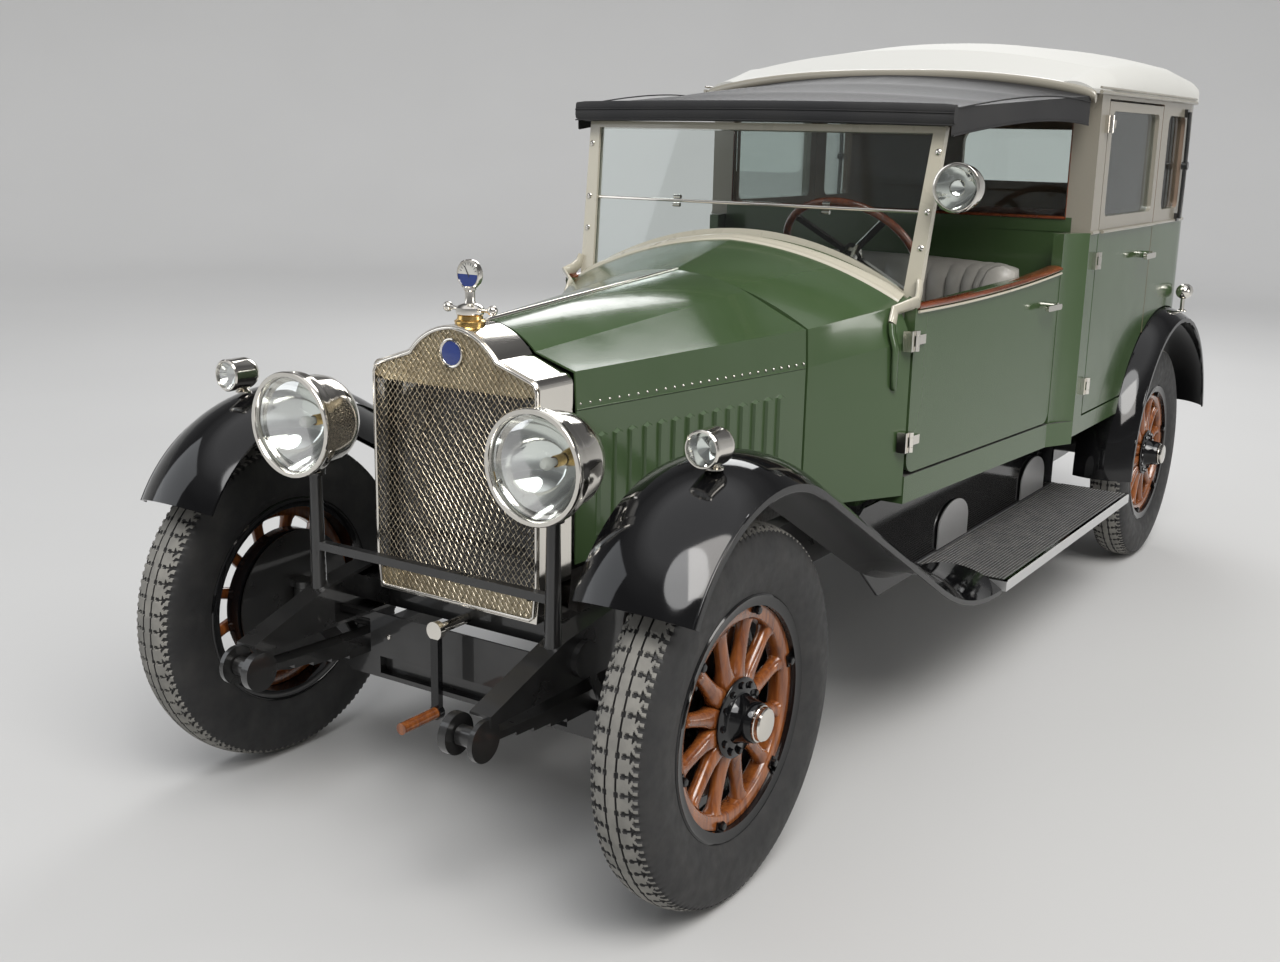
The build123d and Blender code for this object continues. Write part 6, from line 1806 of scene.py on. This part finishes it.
    def fenders(self) -> None:
        """Rolled beads along the fenders' edges."""
        for node in ("front_fenders", "rear_fenders"):
            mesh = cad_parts[node].data
            points = np.empty(len(mesh.vertices) * 3)
            mesh.vertices.foreach_get("co", points)
            points = points.reshape(-1, 3)
            points = points[points[:, 0] > 0]
            edge = points[points[:, 0] > points[:, 0].max() - 0.0015]
            if node == "front_fenders":
                order = np.argsort(edge[:, 1])
            else:
                order = np.argsort(np.arctan2(edge[:, 2] - 0.40, -(edge[:, 1] - 1.49)))
            line = edge[order]
            kept = [line[0]]
            for point in line[1:]:
                if 0.018 < np.linalg.norm(point - kept[-1]) < 0.30:
                    kept.append(point)
            bead = Shape()
            for side in (-1, 1):
                bead.tube([(side * (p[0] - 0.0045), p[1], p[2]) for p in kept], 0.0044, 8)
            bead.piece(f"{node}_bead", Look.BLACK, smooth=60)
            log.info("%s bead: %d points", node, len(kept))

    def front(self) -> None:
        """Bolts of the front plate and discs of the friction dampers."""
        bolts, damper = Shape(), Shape()
        bolt = [(0.0065, 0.0), (0.0062, 0.0022), (0.0035, 0.0036), (0.0, 0.0040)]
        for x in (-0.20, 0.20):
            bolts.lathe(bolt, facing((x, -1.9395, 0.43), (0, -1, 0)), 16)
        bolts.piece("plate_bolts", Look.NICKEL)
        for side in (-1, 1):
            for x, radius in ((0.398, 0.046), (0.404, 0.034), (0.409, 0.016)):
                disc = [
                    (0.0, 0.0), (radius, 0.0), (radius, 0.0045), (radius - 0.002, 0.006),
                    (0.0, 0.006),
                ]
                damper.lathe(disc, facing((side * x, -1.690, 0.520), (side, 0, 0)), 36)
        damper.piece("damper_discs", Look.STEEL)

    def dress(self) -> None:
        """Make all of the trim."""
        self.bonnet()
        self.boards()
        self.screen()
        self.roof()
        self.cabin()
        self.fenders()
        self.front()


@dataclass
class Painter:
    """Gives the CAD nodes that stay in view their finishes.

    Attributes:
        plain: Each node's main finish.
    """
    plain: dict[str, Finish] = field(
        default_factory=lambda: {
            "chassis_frame": Look.CHASSIS, "front_axle": Look.CHASSIS, "knuckle_left": Look.CHASSIS,
            "knuckle_right": Look.CHASSIS, "tie_rod": Look.CHASSIS, "leaf_springs": Look.CHASSIS,
            "rear_axle": Look.CHASSIS, "engine": Look.IRON, "exhaust": Look.STEEL,
            "fuel_tank": Look.BLACK, "radiator_shell": Look.NICKEL, "radiator_core": Look.CORE,
            "stone_guard": Look.NICKEL, "radiator_cap": Look.NICKEL, "bonnet_top_left": Look.GREEN,
            "bonnet_top_right": Look.GREEN, "bonnet_side_left": Look.GREEN,
            "bonnet_side_right": Look.GREEN, "windscreen_frame": Look.CREAM,
            "fixed_glass": Look.GLASS, "scuttle": Look.GREEN, "body_tub": Look.GREEN,
            "rear_cabin": Look.TWO_TONE, "roof": Look.ROOF, "canopy": Look.HEAD,
            "rear_door_left": Look.TWO_TONE, "rear_door_right": Look.TWO_TONE,
            "rear_door_glass_left": Look.GLASS, "rear_door_glass_right": Look.GLASS,
            "driver_door_left": Look.GREEN, "driver_door_right": Look.GREEN,
            "door_hinges": Look.NICKEL, "front_fenders": Look.BLACK, "rear_fenders": Look.BLACK,
            "running_boards": Look.ALUMINIUM, "splash_aprons": Look.BLACK,
            "headlamps": Look.NICKEL, "headlamp_lenses": Look.GLASS, "side_lamps": Look.NICKEL,
            "number_plate": Look.SATIN, "starting_handle": Look.BLACK,
            "steering_wheel": Look.MAHOGANY, "steering_column": Look.CHASSIS,
            "seats": Look.LEATHER, "hood_irons": Look.CHASSIS, "spare_rim": Look.BLACK,
            "spare_tyre": Look.TYRE,
        }
    )

    def zones(
        self, node: str, middle: np.ndarray, normal: np.ndarray
    ) -> tuple[list[Finish], np.ndarray]:
        """Say which faces of a node have another finish than its main one.

        Args:
            node: The CAD node.
            middle: Face centres, one row each.
            normal: Face normals, one row each.

        Returns:
            The other finishes, and a number for each face: 0 for the main finish, 1 for the first
            of the others, and so on.
        """
        across, y, z = np.abs(middle[:, 0]), middle[:, 1], middle[:, 2]
        outward = normal[:, 0] * np.sign(middle[:, 0])
        if node == "body_tub":
            return [Look.MAT], (normal[:, 2] > 0.9) & (z > 0.6)
        if node == "steering_wheel":
            centre, spider = np.array([0.25, -0.41, 1.285]), 0.176
            return [Look.NICKEL], np.linalg.norm(middle - centre, axis=1) < spider
        if node == "scuttle":
            return [Look.NICKEL], (across < 0.0065) & (y < -1.0)
        if node == "roof":
            return [Look.LINING], normal[:, 2] < -0.3
        if node == "rear_cabin":
            lined = (outward < -0.5) & (y > 0.40)
            lined |= (normal[:, 1] < -0.4) & (y > 0.9)
            lined |= (normal[:, 1] > 0.9) & (y < 0.6)
            return [Look.LINING, Look.NICKEL], lined
        if node in ("rear_door_left", "rear_door_right"):
            lined = (outward < -0.5) & (y > 0.40)
            return [Look.LINING, Look.NICKEL], np.where(lined, 1, np.where(across > 0.7270, 2, 0))
        if node == "starting_handle":
            grip = (y < -2.004) & (z < 0.33)
            return [Look.SPOKE, Look.NICKEL], np.where(grip, 1, np.where(z > 0.485, 2, 0))
        if node.startswith("driver_door"):
            proud = across > 0.585 + 0.077 * (y + 0.70) + 0.0045
            return [Look.LEATHER, Look.NICKEL], np.where(outward < -0.6, 1, np.where(proud, 2, 0))
        return [], np.zeros(len(middle))

    def dress(self) -> None:
        """Finish every CAD node."""
        for node, finish in self.plain.items():
            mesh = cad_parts[node].data
            count = len(mesh.polygons)
            middle, normal = np.empty(count * 3), np.empty(count * 3)
            mesh.polygons.foreach_get("center", middle)
            mesh.polygons.foreach_get("normal", normal)
            others, index = self.zones(node, middle.reshape(-1, 3), normal.reshape(-1, 3))
            mesh.materials.clear()
            for shown in (finish, *others):
                mesh.materials.append(shown.build())
            mesh.polygons.foreach_set("material_index", index.astype(np.int32))


@dataclass
class Studio:
    """The floor, lights and camera.

    Attributes:
        eye: Place of the camera.
        target: Point that it looks at.
        roll: Its roll, in radians.
        lens: Focal length, in millimetres on a 36 mm sensor.
    """

    eye: Point = (2.0793, -4.3483, 1.6227)
    target: Point = (-0.5622, -0.2861, 0.4443)
    roll: float = 0.0204
    lens: float = 40.284

    def light(
        self, name: str, place: Point, target: Point, size: float, power: float, color: Color
    ) -> None:
        """Put an area lamp in the studio.

        Args:
            name: The lamp's name.
            place: Where it stands.
            target: What it points at.
            size: Side of its square.
            power: Its power in watts.
            color: Its colour.
        """
        lamp = bpy.data.lights.new(name, "AREA")
        lamp.shape, lamp.size, lamp.energy, lamp.color = "SQUARE", size, power, color
        made = bpy.data.objects.new(name, lamp)
        bpy.context.scene.collection.objects.link(made)
        turn = (Vector(place) - Vector(target)).to_track_quat("Z", "Y").to_matrix().to_4x4()
        made.matrix_world = Matrix.Translation(Vector(place)) @ turn

    def floor(self) -> None:
        """Build the floor: flat, and turned up far behind the car."""
        flat, turn = 13.0, 7.0
        curve = [(0.001, 0.0), (4.0, 0.0), (9.0, 0.0), (flat, 0.0)]
        for a in np.linspace(0, math.pi / 2, 25)[1:]:
            curve.append((flat + turn * math.sin(a), turn - turn * math.cos(a)))
        turns = np.linspace(0, 2 * math.pi, 97)
        sweep = [[Vector((r * math.cos(a), r * math.sin(a), z)) for a in turns] for r, z in curve]
        shape = Shape().grid(sweep)
        mesh = bpy.data.meshes.new("floor")
        mesh.from_pydata([tuple(point) for point in shape.points], [], shape.faces)
        mesh.polygons.foreach_set("use_smooth", [True] * len(mesh.polygons))
        mesh.materials.append(Look.FLOOR.build())
        floor = bpy.data.objects.new("floor", mesh)
        bpy.context.scene.collection.objects.link(floor)

    def lights(self) -> None:
        """Build the lamps and the soft light from above."""
        self.light("key", (4.5, -3.5, 6.5), (0, 0, 0.8), 4.0, 330, (1.0, 0.97, 0.93))
        self.light("fill", (-6.0, -5.0, 4.0), (0, 0, 0.8), 5.0, 110, (0.93, 0.96, 1.0))
        self.light("back", (-3.0, 6.5, 5.5), (0, 0, 1.0), 4.0, 260, (1.0, 1.0, 1.0))
        self.light("side", (7.0, 1.5, 2.6), (0, 0, 0.9), 2.0, 90, (1.0, 0.98, 0.95))
        sun = bpy.data.lights.new("sky", "SUN")
        sun.energy, sun.angle = 1.5, 0.6
        sky = bpy.data.objects.new("sky", sun)
        sky.rotation_euler = (math.radians(28), math.radians(24), 0)
        bpy.context.scene.collection.objects.link(sky)

    def world(self) -> None:
        """Build the surroundings: grey, darker above the horizon and bright overhead."""
        world = bpy.data.worlds.new("studio")
        world.use_nodes = True
        nodes, links = world.node_tree.nodes, world.node_tree.links
        background = nodes["Background"]
        coords = nodes.new("ShaderNodeTexCoord")
        split = nodes.new("ShaderNodeSeparateXYZ")
        ramp = nodes.new("ShaderNodeValToRGB")
        stops = [
            (0.0, 0.30), (0.50, 0.50), (0.60, 0.50), (0.68, 0.16), (0.80, 0.10), (0.88, 0.30),
            (0.94, 1.0), (1.0, 1.0),
        ]
        while len(ramp.color_ramp.elements) < len(stops):
            ramp.color_ramp.elements.new(0.5)
        for element, (place, bright) in zip(ramp.color_ramp.elements, stops):
            element.position = place
            element.color = (bright, bright, bright * 1.02, 1.0)
        shift = nodes.new("ShaderNodeMath")
        shift.operation = "MULTIPLY_ADD"
        shift.inputs[1].default_value = 0.5
        shift.inputs[2].default_value = 0.5
        links.new(coords.outputs["Generated"], split.inputs["Vector"])
        links.new(split.outputs["Z"], shift.inputs[0])
        links.new(shift.outputs[0], ramp.inputs["Fac"])
        links.new(ramp.outputs["Color"], background.inputs["Color"])
        background.inputs["Strength"].default_value = 0.9
        bpy.context.scene.world = world
        bpy.context.scene.view_settings.view_transform = "Standard"

    def camera(self) -> None:
        """Build the camera, turned about its view line by the roll."""
        scene = bpy.context.scene
        camera_data = bpy.data.cameras.new("camera")
        camera_data.lens, camera_data.sensor_width = self.lens, 36.0
        camera_data.clip_start, camera_data.clip_end = 0.05, 200.0
        camera = bpy.data.objects.new("camera", camera_data)
        scene.collection.objects.link(camera)
        forward = (Vector(self.target) - Vector(self.eye)).normalized()
        right = forward.cross(Vector((0, 0, 1))).normalized()
        up = right.cross(forward)
        turned_right = right * math.cos(self.roll) + up * math.sin(self.roll)
        turned_up = up * math.cos(self.roll) - right * math.sin(self.roll)
        axes = Matrix((turned_right, turned_up, -forward)).transposed().to_4x4()
        camera.matrix_world = Matrix.Translation(Vector(self.eye)) @ axes
        scene.camera = camera

    def build(self) -> None:
        """Build the floor, the lights, the world and the camera."""
        self.floor()
        self.lights()
        self.world()
        self.camera()


def main() -> None:
    """Dress the car and set the studio."""
    Painter().dress()
    for name, x, y in (
        ("front_left", HALF_TRACK, AXLE_FRONT_Y), ("front_right", -HALF_TRACK, AXLE_FRONT_Y),
        ("rear_left", HALF_TRACK, AXLE_REAR_Y), ("rear_right", -HALF_TRACK, AXLE_REAR_Y),
    ):
        Wheel(name, (x, y, TYRE_RADIUS), 1 if x > 0 else -1).dress()
    spare = Wheel("spare", SPARE_CENTRE, 1)
    spare.tyre(facing(spare.centre, (0, 1, 0)), "dressed_spare_tyre", "car", "spare_tyre")
    Radiator().dress()
    StoneGuard().dress()
    Lamps().dress()
    Seats().dress()
    FoldingHead().dress()
    Trim().dress()
    Studio().build()


if __name__ == "__main__":
    main()
